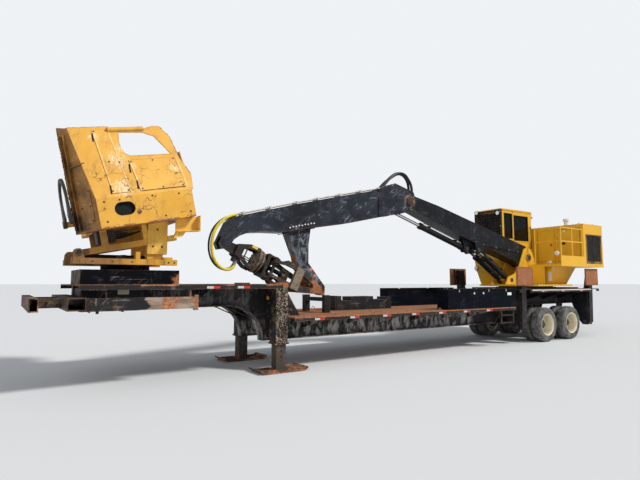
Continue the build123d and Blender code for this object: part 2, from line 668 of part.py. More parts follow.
def cab_door():
    """Door on the far side of the cab, with its window cut."""
    x0, x1, z0, z1 = CAB_DOOR
    y0, y1 = CAB_Y1 - CAB_WALL + 6, CAB_Y1
    door = box(x0 + DOOR_GAP, x1 - DOOR_GAP, y0, y1, z0 + DOOR_GAP, z1 - DOOR_GAP)
    door -= box(x0 + 90, x1 - 90, y0 - 1, y1 + 1, 2950, z1 - 90)
    hinge = CAB_Y1 + HINGE_OFF
    leaves = []
    for z in CAB_HINGES:
        leaves.append(box(x1 - 40, x1 - 8, y1 - 4, hinge, z, z + KNUCKLE_H))
        leaves.append(box(x1 - 30, x1, hinge - 6, hinge + 6, z, z + KNUCKLE_H))
    handle = box(x0 + 50, x0 + 80, y1, y1 + 35, 2850, 3000)
    door = fuse([door, knuckles(x1, hinge, CAB_HINGES), *leaves, handle])
    return [door - hinge_bore(x1, hinge)]


def cab_guard():
    """Steel mesh guard in front of the cab."""
    x0, x1 = CAB_X0 - 60, CAB_X0 - 20
    frame = box(x0, x1, CAB_Y0, CAB_Y1, 2560, CAB_TOP)
    frame -= box(x0 - 1, x1 + 1, CAB_Y0 + 50, CAB_Y1 - 50, 2610, CAB_TOP - 50)
    bars = [box(x0 + 12, x0 + 24, y, y + 12, 2600, CAB_TOP - 40)
            for y in range(CAB_Y0 + 130, CAB_Y1 - 60, 100)]
    bars += [box(x0 + 14, x0 + 26, CAB_Y0 + 40, CAB_Y1 - 40, z, z + 12)
             for z in range(2700, CAB_TOP - 60, 100)]
    mounts = [box(x1, CAB_X0, y, y + 60, z, z + 60)
              for y in (CAB_Y0, CAB_Y1 - 60) for z in (2600, 3800)]
    return [fuse([frame, *bars, *mounts])]


def cab_seat():
    """Operator's seat: cushion, back rest and pedestal."""
    middle = (CAB_Y0 + CAB_Y1) / 2
    z = UPPER_Z + UPPER_T + CAB_WALL
    base = box(9300, 9600, middle - 150, middle + 150, z, 2640)
    cushion = box(9200, 9700, middle - 250, middle + 250, 2640, 2760)
    back = slab([(9640, 2760), (9760, 2760), (9860, 3400), (9760, 3420)], middle - 240, middle + 240)
    return [fuse([base, cushion, back])]


def catwalk():
    """Toe board and hand rails beside the housing door."""
    z = UPPER_Z + UPPER_T
    y = -UPPER_HALF
    toe = box(9180, HOUSE_X0, y, y + 16, z, 2430)
    r, rail_y = 20, y + 28
    pieces = [toe]
    for x in (9230, 9830, 10400):
        pieces.append(bar((x, rail_y, z), (x, rail_y, 3250), r))
    for level in (2850, 3250):
        pieces.append(bar((9230, rail_y, level), (10400, rail_y, level), r))
    pieces += [Pos(x, rail_y, 3250) * Sphere(r) for x in (9230, 10400)]
    for x in (9260, 9900):
        pieces.append(box(x, x + 40, y, y + 60, z, z + 60))
    return [fuse(pieces)]


def main_boom():
    """Tapered box boom with lugs for the lift and stick cylinders."""
    foot_x, foot_z = BOOM_PIN
    body = slab([(foot_x, 2740), *BOOM_TOP[::-1], (4090, 3780), (4070, 3600),
                 (4260, 3530), (5300, 3180), (6300, 2870), (8680, 2240), (foot_x, 2130)],
                -BOOM_HALF, BOOM_HALF)
    foot = pin_y(BOOM_PIN, 290, -BOOM_HALF, BOOM_HALF)
    nose = pin_y(ELBOW_PIN, 150, -BOOM_HALF, BOOM_HALF)
    trim = box(3500, ELBOW_PIN[0], -500, 500, 3000, 4200) - pin_y(ELBOW_PIN, 150, -600, 600)
    body = body - trim
    collar = pin_y(BOOM_PIN, 120, -BOOM_HALF - 22, BOOM_HALF + 22)
    bore = pin_y(BOOM_PIN, 60 + PIN_GAP, -400, 400)
    elbow_pin = pin_y(ELBOW_PIN, 55, -BOOM_HALF - 60, BOOM_HALF + 60)
    boom = fuse([body, foot, nose, collar]) - bore + elbow_pin
    # lugs: outline and their Y places for the lift cylinders and the stick cylinder
    lift = [(7150, 2750), (6700, 2860), (6740, LIFT_EYE[1] - 40), (6800, LIFT_EYE[1] - 90),
            (6900, LIFT_EYE[1] - 90), (6970, LIFT_EYE[1] - 20)]
    stick = [(6760, 2860), (6330, 2960), (6420, STICK_BASE[1] - 40), (6470, STICK_BASE[1] - 90),
             (6570, STICK_BASE[1] - 90), (6640, STICK_BASE[1] - 20)]
    inner = EYE_HALF + 10
    lugs = []
    for y0 in (LIFT_Y - EYE_HALF - 8 - LUG_T, LIFT_Y + EYE_HALF + 8):
        lugs += pair(slab(lift, y0, y0 + LUG_T))
    lugs += pair(slab(stick, inner, inner + LUG_T))
    pin = pin_y(STICK_BASE, PIN_R, -inner, inner)
    block = box(HOSE_BLOCK_X, HOSE_BLOCK_X + 90, -110, 110, HOSE_BLOCK_TOP - 120, HOSE_BLOCK_TOP)
    return [fuse([boom, *lugs, pin, block])]


def stick_boom():
    """Stick with its fork at the elbow, curved nose and the bolted heel."""
    top = [(-590, 2850), *STICK_TOP]
    low = [(3500, 3270), (2330, 3010), (1330, 2840), (640, 2700), (210, 2690), (-170, 2660),
           (-400, 2570), (-540, 2470)]
    nose = [(-600, 2330), (-740, 2300), (-790, 2420)]
    body = slab(top + [(3550, 3960), (3550, 3280)] + low + nose, -BOOM_HALF, BOOM_HALF)
    hanger_slot = box(-1000, -480, -72, 72, 2200, 2560)
    body -= hanger_slot
    cheek = [(3200, 3870), (3720, 4090), (4340, 3930), (4430, 3700), (4370, 3470), (3800, 3320),
             (3200, 3220)]
    inner = BOOM_HALF
    cheeks = []
    for side in (-1, 1):
        y0, y1 = sorted((side * inner, side * (inner + 30)))
        cheeks.append(slab(cheek, y0, y1))
    shave = box(3560, 4600, -BOOM_HALF - 6, BOOM_HALF + 6, 3000, 4200)
    cap = slab([(3550, 3880), (3550, 3990), (3720, 4090), (3900, 4045), (3880, 3975)],
               -BOOM_HALF - 20, BOOM_HALF + 20)
    cheeks = [c - shave for c in cheeks]
    stick = fuse([body, *cheeks, cap])
    stick -= pin_y(ELBOW_PIN, 55 + PIN_GAP, -400, 400)
    eye = [(3540, 3290), (3540, 3600), (3740, 3540), (3810, 3450), (3790, 3370), (3700, 3340)]
    lug_in = EYE_HALF + 10
    lugs = pair(slab(eye, lug_in, lug_in + LUG_T))
    pin = pin_y(HANGER_PIN, PIN_R, -100, 100)
    heel = [(710, 2730), (1330, 2850), (1270, 2470), (1270, 2070), (1490, 1810), (1700, 1560),
            (1690, 1360), (1570, 1380), (1180, 1680), (980, 1970), (940, 2190)]
    heel_body = slab(heel, -HEEL_HALF, HEEL_HALF)
    flange = slab([(640, 2690), (1400, 2850), (1400, 2830), (640, 2670)], -160, 160)
    return [fuse([stick, *lugs, pin, heel_body, flange])]


def on_top(x):
    """Height of the stick's top line at x."""
    for (x0, z0), (x1, z1) in zip(STICK_TOP, STICK_TOP[1:]):
        if x0 <= x <= x1:
            return z0 + (z1 - z0) * (x - x0) / (x1 - x0)


def pipe_run():
    """Side view of the pipes' seat on the stick, front to rear."""
    return [(x, on_top(x)) for x in (PIPE_START, STICK_TOP[1][0], STICK_TOP[2][0], PIPE_END)]


def stick_pipes():
    """Steel hydraulic pipes in clamps along the top of the stick."""
    run = pipe_run()
    pieces = [tube_frame([(x, y, z + PIPE_RISE) for x, z in run], PIPE_R) for y in PIPE_Y]
    half = max(PIPE_Y) + 30
    for (x0, z0), (x1, z1) in zip(run, run[1:]):
        angle = math.degrees(math.atan2(z1 - z0, x1 - x0))
        for share in (0.12, 0.6):
            x, z = x0 + (x1 - x0) * share, z0 + (z1 - z0) * share
            block = box(-25, 25, -half, half, 0, PIPE_RISE + PIPE_R + 12)
            pieces.append(Pos(x, 0, z) * Rot(0, -angle, 0) * block)
    return [fuse(pieces)]


def along(a, b, distance):
    """Point at a distance from a towards b, both (X, Z)."""
    length = math.dist(a, b)
    return (a[0] + (b[0] - a[0]) * distance / length, a[1] + (b[1] - a[1]) * distance / length)


def ram(base, tip, y, barrel_length, bore_from):
    """Barrel of a cylinder at one Y place, with its base eye."""
    end = along(base, tip, barrel_length)
    start = along(base, tip, 185)
    barrel = bar((start[0], y, start[1]), (end[0], y, end[1]), BARREL_R)
    barrel += bar((base[0], y, base[1]), (start[0], y, start[1]), EYE_HALF - 4)
    gland_from = along(base, tip, barrel_length - 70)
    barrel += bar((gland_from[0], y, gland_from[1]), (end[0], y, end[1]), BARREL_R + 10)
    barrel += pin_y(base, EYE_R, y - EYE_HALF, y + EYE_HALF)
    barrel -= pin_y(base, PIN_R + PIN_GAP, y - 200, y + 200)
    hollow = along(base, tip, bore_from)
    past = along(base, tip, barrel_length + 10)
    return barrel - bar((hollow[0], y, hollow[1]), (past[0], y, past[1]), ROD_R + PIN_GAP)


def rod(base, tip, y, rod_length):
    """Rod of a cylinder at one Y place, with its eye and pin."""
    total = math.dist(base, tip)
    back = along(base, tip, total - rod_length)
    shaft = bar((back[0], y, back[1]), (tip[0], y, tip[1]), ROD_R)
    eye = pin_y(tip, EYE_R - 5, y - EYE_HALF, y + EYE_HALF)
    return shaft + eye


def lift_barrels():
    """Barrels of the twin lift cylinders."""
    return [ram(LIFT_BASE, LIFT_EYE, y, 1300, 190) for y in (-LIFT_Y, LIFT_Y)]


def lift_rods():
    """Rods of the twin lift cylinders, tied by a cross tube in the eyes."""
    return [rod(LIFT_BASE, LIFT_EYE, y, 1400) for y in (-LIFT_Y, LIFT_Y)]


def stick_barrel():
    """Barrel of the stick cylinder."""
    return [ram(STICK_BASE, STICK_EYE, 0, 1850, 1200)]


def stick_rod():
    """Rod of the stick cylinder."""
    return [rod(STICK_BASE, STICK_EYE, 0, 1550)]


def grapple_place():
    """Moves a piece drawn along the grapple's axis to the folded grapple."""
    return Pos(HANGER_PIN[0], 0, HANGER_PIN[1]) * Rot(0, GRAPPLE_DIP, 0)


def grapple_hanger():
    """Link that hangs in the stick nose and carries the rotator."""
    eye = pin_y((0, 0), 80, -62, 62)
    neck = slab([(0, -70), (0, 70), (330, 110), (330, -110)], -60, 60)
    plate = slab([(250, -110), (250, 110), (500, 225), (740, 240), (740, -240), (600, -240),
                  (330, -130)], 110, 150)
    plate -= slab([(400, -75), (400, 85), (520, 150), (740, 165), (740, -165), (620, -170)], 100, 160)
    plates = pair(plate)
    plates += [slab([(500, 175), (500, 225), (740, 240), (740, 190)], -150, 150)]
    cross = box(250, 330, -150, 150, -110, 110)
    flange = bar((740, 0, 0), (790, 0, 0), GRAPPLE_RING_R)
    block = box(310, 430, -108, 108, -HANGER_BLOCK, -100)
    link = fuse([eye, neck, *plates, cross, flange, block])
    link -= pin_y((0, 0), PIN_R + PIN_GAP, -200, 200)
    return [grapple_place() * link]


def grapple_head():
    """Rotator and the head that the tongs hang in."""
    ring = bar((790.3, 0, 0), (850, 0, 0), GRAPPLE_RING_R)
    motor = bar((850, 0, 0), (930, 0, 0), 170)
    frame = box(930, 990, -190, 190, -234, 234)
    cheeks = [box(990, 1215, -180, 180, z, z + 30) for z in (-234, 204)]
    pins = [bar((TONG_G, y, -204), (TONG_G, y, 204), TONG_PIN_R) for y in (-TONG_Y, TONG_Y)]
    barrel = bar((990, 0, 0), (1440, 0, 0), 44)
    rod_end = bar((1440, 0, 0), (1530, 0, 0), 26)
    return [grapple_place() * fuse([ring, motor, frame, *cheeks, *pins, barrel, rod_end])]


def tong():
    """Near tong: bowed in plan, two side bars that meet beside the heel."""
    outer = [(1100, -190), (1300, -300), (1550, -370), (1850, -360), (2150, -275), (2350, -190),
             (2430, -140)]
    inner = [(2435, -HEEL_CLEAR), (2320, -135), (2100, -200), (1850, -262), (1560, -280),
             (1340, -225), (1210, -90), (1100, -90)]
    blade = slab_z(outer + inner, -300, 300)
    side = slab([(1060, -198), (1250, -198), (1330, -250), (1780, -240), (2440, 0), (2400, 120),
                 (1725, 222), (1330, 265), (1250, 198), (1060, 198)], -500, 0)
    front = slab([(1000, -115), (1330, -150), (1560, -150), (1560, 155), (1330, 160), (1000, 115)],
                 -500, -20)
    rear = slab([(1750, -125), (2130, 5), (2090, 70), (1750, 110)], -500, -20)
    blade = (blade & side) - front - rear
    bosses = [bar((TONG_G, -TONG_Y, z), (TONG_G, -TONG_Y, z + 83), 70) for z in (-198, 115)]
    bore = bar((TONG_G, -TONG_Y, -300), (TONG_G, -TONG_Y, 300), TONG_PIN_R + PIN_GAP)
    return grapple_place() * (fuse([blade, *bosses]) - bore)


# moves a piece drawn level to the tipped delimber box
DELIMBER_PLACE = Pos(DELIMBER_FOOT[0], 0, DELIMBER_FOOT[1]) * Rot(0, -DELIMBER_TILT, 0)


def lean_plane():
    """Plane of the near upper panel, u along it and s up its slope."""
    lean = math.degrees(math.atan2(DELIMBER_HALF - DELIMBER_TOP_HALF, DELIMBER_H - BAND_H))
    return Plane(origin=(0, -DELIMBER_HALF, BAND_H), x_dir=(1, 0, 0),
                 z_dir=(0, -math.cos(math.radians(lean)), math.sin(math.radians(lean))))


def panel_sheet(points, t0, t1):
    """Part of the leaning panel from (u, s) points, from depth t0 to t1."""
    face = make_face(Polyline(*[(u, s) for u, s in points], close=True))
    return lean_plane() * (Pos(0, 0, t0) * extrude(face, amount=t1 - t0, dir=(0, 0, 1)))


def delimber_side():
    """Near tower of the delimber: band, leaning panel with its window, covers."""
    slope = math.hypot(DELIMBER_HALF - DELIMBER_TOP_HALF, DELIMBER_H - BAND_H)
    band = box(0, DELIMBER_L, -DELIMBER_HALF, -DELIMBER_HALF + SHEET_T, 0, BAND_H)
    hole = Pos(410, 0, 255) * Rot(90, 0, 0) * extrude(SlotOverall(300, 200), amount=2000, both=True)
    band -= hole
    outline = [(0, 0), (-150, slope), (470, slope), (500, slope - 70), (960, slope - 70),
               (1180, slope - 10), (1290, slope - 20), (1420, slope - 220), (1480, slope - 650),
               (1600, slope - 1000), (1560, 0)]
    skin = panel_sheet(outline, -SHEET_T, 0)
    window = panel_sheet([(600, slope - 109), (985, slope - 124), (1160, slope - 204),
                          (1300, slope - 444), (1370, slope - 579), (690, slope - 569),
                          (610, slope - 520), (575, slope - 400), (570, slope - 284)], -60, 60)
    skin -= window
    left = panel_sheet([(200, slope - 60), (430, slope - 60), (540, 60), (270, 60)], 0, 8)
    right = panel_sheet([(640, slope - 650), (1400, slope - 640), (1440, 60), (700, 60)], 0, 8)
    return fuse([band, skin, left, right])


def end_plate(u_outer, u_inner, inner_height):
    """Upright plate across a tower's end, from its outer side to the throat."""
    line = [(u_outer, -DELIMBER_HALF), (u_inner, -THROAT_HALF)]
    points = line + [(u + SHEET_T, y) for u, y in reversed(line)]
    face = slab_x([(-DELIMBER_HALF, 0), (-DELIMBER_HALF, BAND_H), (-DELIMBER_TOP_HALF, DELIMBER_H - 20),
                   (-THROAT_HALF, inner_height), (-THROAT_HALF, 0)], -600, 2000)
    return face & slab_z(points, -10, 2000)


def rear_tray():
    """Bent bracket under the rear end on the near side."""
    under = DELIMBER_FOOT[1] + (1200 - 5) * math.tan(math.radians(DELIMBER_TILT)) - 6
    x0, x1 = -1860, -1470
    web = slab([(x0, 2510), (x1, 2540), (x1, 2800), (x0, under)], -820, -806)
    lip = slab([(x0, 2500), (x1, 2530), (x1, 2544), (x0, 2514)], -960, -806)
    end = box(x1 - 14, x1, -960, -806, 2530, 2800)
    tail = slab([(x0, 2500), (x0, 2514), (-1700, 2524), (-1760, 2430), (-1910, 2390), (-1905, 2400)],
                -900, -806)
    return fuse([web, lip, end, tail])


def delimber_housing():
    """Both towers, floor, ends and the frame below, tipped up at the rear."""
    nose = -260
    rear = end_plate(DELIMBER_L - SHEET_T, DELIMBER_L - SHEET_T, 1150) & box(
        0, 2000, -2000, 0, 0, 1150)
    front = end_plate(0, nose, DELIMBER_H + 60)
    wall = box(0, DELIMBER_L, -THROAT_HALF, -THROAT_HALF + SHEET_T, 0, 1150)
    shroud = slab([(nose, 0), (nose, DELIMBER_H + 60), (220, DELIMBER_H + 30), (220, 1150), (0, 1150),
                   (0, 0)], -THROAT_HALF, -THROAT_HALF + SHEET_T)
    cap = slab_x([(-DELIMBER_TOP_HALF - 5, DELIMBER_H - 24), (-THROAT_HALF, DELIMBER_H + 40),
                  (-THROAT_HALF, DELIMBER_H + 54), (-DELIMBER_TOP_HALF - 5, DELIMBER_H - 10)], -140, 220)
    y, z = -DELIMBER_TOP_HALF - 22, DELIMBER_H - 62
    top_bar = bar((440, y, z), (1010, y, z), 42)
    side = fuse([delimber_side(), front, rear, wall, shroud, cap, top_bar])
    far_front = far(end_plate(0, 0, DELIMBER_H))
    far_side = fuse([far(p) for p in (delimber_side(), rear, wall)] + [far_front])
    far_side &= box(-900, 2000, 0, 2000, 0, FAR_TOWER_H)
    floor = slab_z([(0, -DELIMBER_HALF), (DELIMBER_L, -DELIMBER_HALF), (DELIMBER_L, DELIMBER_HALF),
                    (0, DELIMBER_HALF), (0, SHEET_T - THROAT_HALF), (nose, SHEET_T - THROAT_HALF),
                    (nose, -THROAT_HALF)], -SHEET_T, 0)
    trough = box(100, DELIMBER_L - 100, -THROAT_HALF, THROAT_HALF, 180, 200)
    tip = DELIMBER_PLACE.inverse() * Pos(TILT_PIN[0], 0, TILT_PIN[1])
    u0, w0 = tip.position.X, tip.position.Z
    beams = []
    for side_y in (-BEAM_Y, BEAM_Y):
        y0, y1 = side_y - 60, side_y + 60
        beam = box(u0, 1250, y0, y1, w0 - 50, w0 + 50) + pin_y((u0, w0), 55, y0, y1)
        beams.append(beam - pin_y((u0, w0), TILT_PIN_R + PIN_GAP, y0 - 1, y1 + 1))
        beams += [box(u, u + 90, y0, y1, w0 + 50, -SHEET_T) for u in (60, 700)]
    knife_pins = [bar((KNIFE_U - 15, s * KNIFE_Y, KNIFE_W), (0, s * KNIFE_Y, KNIFE_W), KNIFE_PIN_R)
                  for s in (-1, 1)]
    carrier = bar((KNIFE_U + 55, KNIFE_Y, KNIFE_W), (0, KNIFE_Y, KNIFE_W), 50)
    shell = DELIMBER_PLACE * fuse([side, far_side, floor, trough, *beams, *knife_pins, carrier])
    slope = math.tan(math.radians(DELIMBER_TILT))
    under = [DELIMBER_FOOT[1] - 7 + (x - DELIMBER_FOOT[0]) * slope for x in (COLUMN_X0, COLUMN_X1)]
    column = slab([(COLUMN_X0, BLOCK_TOP + SLIDE_GAP), (COLUMN_X1, BLOCK_TOP + SLIDE_GAP),
                   (COLUMN_X1, under[1]), (COLUMN_X0, under[0])], BEAM_Y - 60, BEAM_Y + 70)
    return [fuse([shell, column, far(column), rear_tray()])]


def delimber_base():
    """Box and ring on the neck that the delimber turns on."""
    stand = box(BASE_X0, BASE_X1, -BASE_HALF, BASE_HALF, NECK_TOP, BASE_TOP)
    return [stand + bar((TURN_X, 0, BASE_TOP), (TURN_X, 0, TURN_Z - SLIDE_GAP), TURN_R)]


def delimber_pedestal():
    """Turning frame: beams, tilt lugs with their pins, and rest blocks."""
    disc = bar((TURN_X, 0, TURN_Z), (TURN_X, 0, TURN_Z + 40), TURN_R)
    pieces = [disc]
    for side_y in (-BEAM_Y, BEAM_Y):
        y0, y1 = side_y - 75, side_y + 75
        pieces.append(box(-3390, -1750, y0, y1, TURN_Z, TURN_Z + 95))
        pieces.append(box(COLUMN_X0 + 10, COLUMN_X1 - 60, side_y - 30, side_y + 30, TURN_Z + 95, BLOCK_TOP))
        for x0, x1, top in [(COLUMN_X0 - 180, COLUMN_X0 - 110, BLOCK_TOP + 30),
                            (COLUMN_X1 - 60, COLUMN_X1 + 95, BLOCK_TOP - 50)]:
            pieces.append(box(x0, x1, y0, y1, TURN_Z + 95, top))
        x, z = TILT_PIN
        pieces.append(pin_y(TILT_PIN, TILT_PIN_R, side_y - 105, side_y + 105))
        for y in (side_y - 96, side_y + 66):
            pieces.append(slab([(x - 80, TURN_Z), (x + 110, TURN_Z), (x + 60, z + 50),
                                (x + 20, z + 75), (x - 40, z + 70), (x - 70, z + 20)], y, y + 30))
    pieces.append(box(TURN_X - 450, TURN_X + 450, -BEAM_Y, BEAM_Y, TURN_Z, TURN_Z + 40))
    return [fuse(pieces)]


def knife():
    """Curved limbing knife on its pin ahead of the near tower."""
    u0, u1 = KNIFE_U, KNIFE_U + 40
    ring = bar((u0, 0, THROAT_W), (u1, 0, THROAT_W), KNIFE_R + 75)
    ring -= bar((u0 - 1, 0, THROAT_W), (u1 + 1, 0, THROAT_W), KNIFE_R)
    keep = slab_x([(0, THROAT_W), (-90, THROAT_W + 900), (-900, THROAT_W + 900),
                   (-900, THROAT_W - 380), (-360, THROAT_W - 380)], u0 - 1, u1 + 1)
    arm = slab_x([(-KNIFE_Y - 62, KNIFE_W), (-KNIFE_Y, KNIFE_W - 66), (-300, THROAT_W - 270),
                  (-KNIFE_R + 20, THROAT_W - 60), (-KNIFE_R - 75, THROAT_W)], u0, u1)
    arm -= bar((u0 - 1, 0, THROAT_W), (u1 + 1, 0, THROAT_W), KNIFE_R)
    boss = bar((u0 - 10, -KNIFE_Y, KNIFE_W), (u1 + 10, -KNIFE_Y, KNIFE_W), 66)
    blade = fuse([ring & keep, arm, boss])
    blade -= bar((u0 - 60, -KNIFE_Y, KNIFE_W), (u1 + 60, -KNIFE_Y, KNIFE_W), KNIFE_PIN_R + PIN_GAP)
    return DELIMBER_PLACE * blade


def hose(points, r):
    """Tube along straight runs joined by tangent arcs, as wide as they fit."""
    spots = [Vector(*p) for p in points]
    radii = []
    for a, b, c in zip(spots, spots[1:], spots[2:]):
        before, after = b - a, c - b
        half_turn = math.radians(before.get_angle(after)) / 2
        radii.append(0.45 * min(before.length, after.length) / math.tan(half_turn))
    print("radii", [round(v) for v in radii])
    path = FilletPolyline(*spots, radius=radii)
    section = Plane(origin=path @ 0, z_dir=path % 0) * Circle(r)
    return sweep(section, path=path)


def elbow_hoses():
    """Hoses that arch from the stick's pipes over the elbow to the boom."""
    (x0, z0), (x, z) = pipe_run()[-2:]
    lead = along((x, z), (x0, z0), -175)
    route = [(x, z + PIPE_RISE), (lead[0], lead[1] + PIPE_RISE), (3600, 4150), (3800, 4340),
             (4010, 4460), (4220, 4450), (4360, 4320), (HOSE_BLOCK_X + 45, 4120),
             (HOSE_BLOCK_X + 45, HOSE_BLOCK_TOP)]
    return [hose([(px, y, pz) for px, pz in route], HOSE_R) for y in PIPE_Y]


def nose_hoses():
    """Hoses that hang in a bow ahead of the stick's nose."""
    (x, z), (x1, z1) = pipe_run()[:2]
    lead = along((x, z), (x1, z1), -170)
    end = grapple_place() * Pos(365, 0, -HANGER_BLOCK)
    before = grapple_place() * Pos(365, 0, -HANGER_BLOCK - 150)
    route = [(x, z + PIPE_RISE), (lead[0], lead[1] + PIPE_RISE), (-740, 2850), (-870, 2680), (-930, 2460),
             (-925, 2240), (-860, 2060), (-745, 1940), (-605, 1890),
             (before.position.X, before.position.Z), (end.position.X, end.position.Z)]
    return [hose([(px, y, pz) for px, pz in route], 18) for y in (-80, -30)]


def stabilizer_far(x):
    """The same stabilizer on the far side."""
    return [far(s) for s in stabilizer(x)]


NODES = {
    "main_frame": main_frame,
    "decks": decks,
    "kingpin": kingpin,
    "skidder_bar": skidder_bar,
    "leg_sleeves": leg_sleeves,
    "leg_near": leg,
    "leg_far": lambda: [far(s) for s in leg()],
    "boom_rest": boom_rest,
    "tool_boxes": tool_boxes,
    "ladder": ladder,
    "running_gear": running_gear,
    "stabilizer_pockets": stabilizer_pockets,
    "turntable_base": turntable_base,
    "swing_frame": swing_frame,
    "upper_deck": upper_deck,
    "fluid_tank": fluid_tank,
    "engine_housing": engine_housing,
    "housing_grille": housing_grille,
    "housing_door": housing_door,
    "engine_block": engine_block,
    "cab_shell": cab_shell,
    "cab_door": cab_door,
    "cab_guard": cab_guard,
    "cab_seat": cab_seat,
    "catwalk": catwalk,
    "main_boom": main_boom,
    "stick_boom": stick_boom,
    "stick_pipes": stick_pipes,
    "lift_barrels": lift_barrels,
    "lift_rods": lift_rods,
    "stick_barrel": stick_barrel,
    "stick_rod": stick_rod,
    "grapple_hanger": grapple_hanger,
    "grapple_head": grapple_head,
    "tong_near": lambda: [tong()],
    "tong_far": lambda: [far(tong())],
    "delimber_housing": delimber_housing,
    "delimber_base": delimber_base,
    "delimber_pedestal": delimber_pedestal,
    "knife_near": lambda: [knife()],
    "knife_far": lambda: [far(knife())],
    "elbow_hoses": elbow_hoses,
    "nose_hoses": nose_hoses,
}

# what repeats at each axle and each stabilizer
for place, x in zip(("front", "rear"), AXLE_X):
    NODES[f"tyres_{place}_near"] = lambda x=x: wheel_tyres(x)
    NODES[f"tyres_{place}_far"] = lambda x=x: [far(s) for s in wheel_tyres(x)]
    NODES[f"rims_{place}_near"] = lambda x=x: wheel_rims(x)
    NODES[f"rims_{place}_far"] = lambda x=x: [far(s) for s in wheel_rims(x)]
for place, x in zip(("front", "rear"), STAB_X):
    NODES[f"stabilizer_{place}_near"] = lambda x=x: stabilizer(x)
    NODES[f"stabilizer_{place}_far"] = lambda x=x: stabilizer_far(x)


def main():
    os.makedirs("parts", exist_ok=True)
    for name, make in NODES.items():
        solids = [Pos(-STAND_MIDDLE, 0, 0) * s for s in make()]
        export_step(Compound(solids) if len(solids) > 1 else solids[0], f"parts/{name}.step")


main()
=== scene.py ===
"""Dresses the trailer-mounted log loader for its portrait."""

import json
import math
import random

import bmesh
import bpy
from mathutils import Matrix, Vector

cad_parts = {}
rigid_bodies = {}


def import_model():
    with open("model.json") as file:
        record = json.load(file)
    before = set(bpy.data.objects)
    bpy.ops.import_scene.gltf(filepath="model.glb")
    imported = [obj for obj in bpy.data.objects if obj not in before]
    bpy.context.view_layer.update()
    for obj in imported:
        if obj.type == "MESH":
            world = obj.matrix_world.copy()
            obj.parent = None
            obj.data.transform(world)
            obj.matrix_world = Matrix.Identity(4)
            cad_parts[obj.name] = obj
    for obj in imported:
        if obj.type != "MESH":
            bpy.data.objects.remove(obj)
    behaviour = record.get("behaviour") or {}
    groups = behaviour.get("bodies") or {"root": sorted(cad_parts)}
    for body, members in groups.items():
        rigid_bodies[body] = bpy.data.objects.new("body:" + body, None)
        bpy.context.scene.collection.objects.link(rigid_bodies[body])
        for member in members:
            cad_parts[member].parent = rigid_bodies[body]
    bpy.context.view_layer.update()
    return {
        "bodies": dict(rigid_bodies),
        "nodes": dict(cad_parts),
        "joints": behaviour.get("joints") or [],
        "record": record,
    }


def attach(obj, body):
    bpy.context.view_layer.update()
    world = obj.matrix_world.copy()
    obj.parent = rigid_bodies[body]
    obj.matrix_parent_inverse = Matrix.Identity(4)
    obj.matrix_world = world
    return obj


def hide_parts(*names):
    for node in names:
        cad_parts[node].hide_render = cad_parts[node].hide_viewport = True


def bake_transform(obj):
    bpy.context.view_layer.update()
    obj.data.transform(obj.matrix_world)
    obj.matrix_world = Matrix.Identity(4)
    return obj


bl_info = {"name": "Trailer-Mounted Log Loader", "version": (1, 0, 0), "blender": (4, 5, 0),
    "location": "View3D > Sidebar > Log Loader",
    "description": "Adds paint, wear and fittings to the trailer-mounted log loader",
    "category": "Add Mesh"}

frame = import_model()
NODES = frame["nodes"]

# the machine's middle, measured along X from its front legs, and the front faces of the leg wings
MIDDLE = 3.82
WING = 0.0
# the elbow's pin, along X from the front legs, and the radius of a tyre
ELBOW_PIN = (4.20, 0, 3.68)
TYRE = 0.475


def at(x, y, z):
    """A place measured along X from the front legs, in metres."""
    return Vector((x - MIDDLE, y, z))


def axes(across, up, origin):
    """A frame with its own across and up directions; its third axis is across x up."""
    across, up = Vector(across).normalized(), Vector(up).normalized()
    made = Matrix((across, up, across.cross(up))).transposed().to_4x4()
    made.translation = Vector(origin)
    return made


def tipped(x, z, degrees):
    """Frame of a part that is drawn level and tipped about the machine's width."""
    return Matrix.Translation(at(x, 0, z)) @ Matrix.Rotation(math.radians(degrees), 4, "Y")


# the machine's two sides: sign of Y and name
SIDES = ((-1, "near"), (1, "far"))

# frames that pieces are drawn in
HERE = Matrix.Translation(at(0, 0, 0))
NEAR = HERE @ axes((1, 0, 0), (0, 0, 1), (0, 0, 0))
FAR = HERE @ axes((-1, 0, 0), (0, 0, 1), (0, 0, 0))
AHEAD = HERE @ axes((0, -1, 0), (0, 0, 1), (0, 0, 0))
BEHIND = HERE @ axes((0, 1, 0), (0, 0, 1), (0, 0, 0))
DELIMBER = tipped(-3.06, 2.48, -12)
LEAN = DELIMBER @ axes((1, 0, 0), (0, math.sin(math.radians(18.29)), math.cos(math.radians(18.29))),
    (0, -1, 0.45))
MOUTH = DELIMBER @ axes((0.3764, -0.9265, 0), (0, 0, 1), (-0.26, -0.36, 0))
GRAPPLE = tipped(-0.66, 2.42, 24.8)


# sizes and colours


def colour(name, text, default):
    """A colour setting."""
    return bpy.props.FloatVectorProperty(name=name, description=text, subtype="COLOR", size=3, min=0.0,
        max=1.0, default=default)


def length(name, text, default):
    """A length setting in metres."""
    return bpy.props.FloatProperty(name=name, description=text, subtype="DISTANCE", unit="LENGTH", min=0.0,
        default=default)


class LoaderPaint(bpy.types.PropertyGroup):
    """Colours of the machine's finishes."""

    delimber: colour("Delimber paint", "Sun-bleached yellow of the delimber box", (0.74, 0.375, 0.042))
    cab: colour("Cab paint", "Brighter yellow of cab and housing", (0.80, 0.44, 0.022))
    steel: colour("Black paint", "Paint of trailer, boom and stick", (0.010, 0.011, 0.013))
    rust: colour("Rust", "Bare rusty steel", (0.40, 0.150, 0.060))
    dust: colour("Dust", "Road dust on flat tops", (0.26, 0.21, 0.16))
    rim: colour("Rim paint", "Cream paint of the wheels", (0.78, 0.72, 0.54))


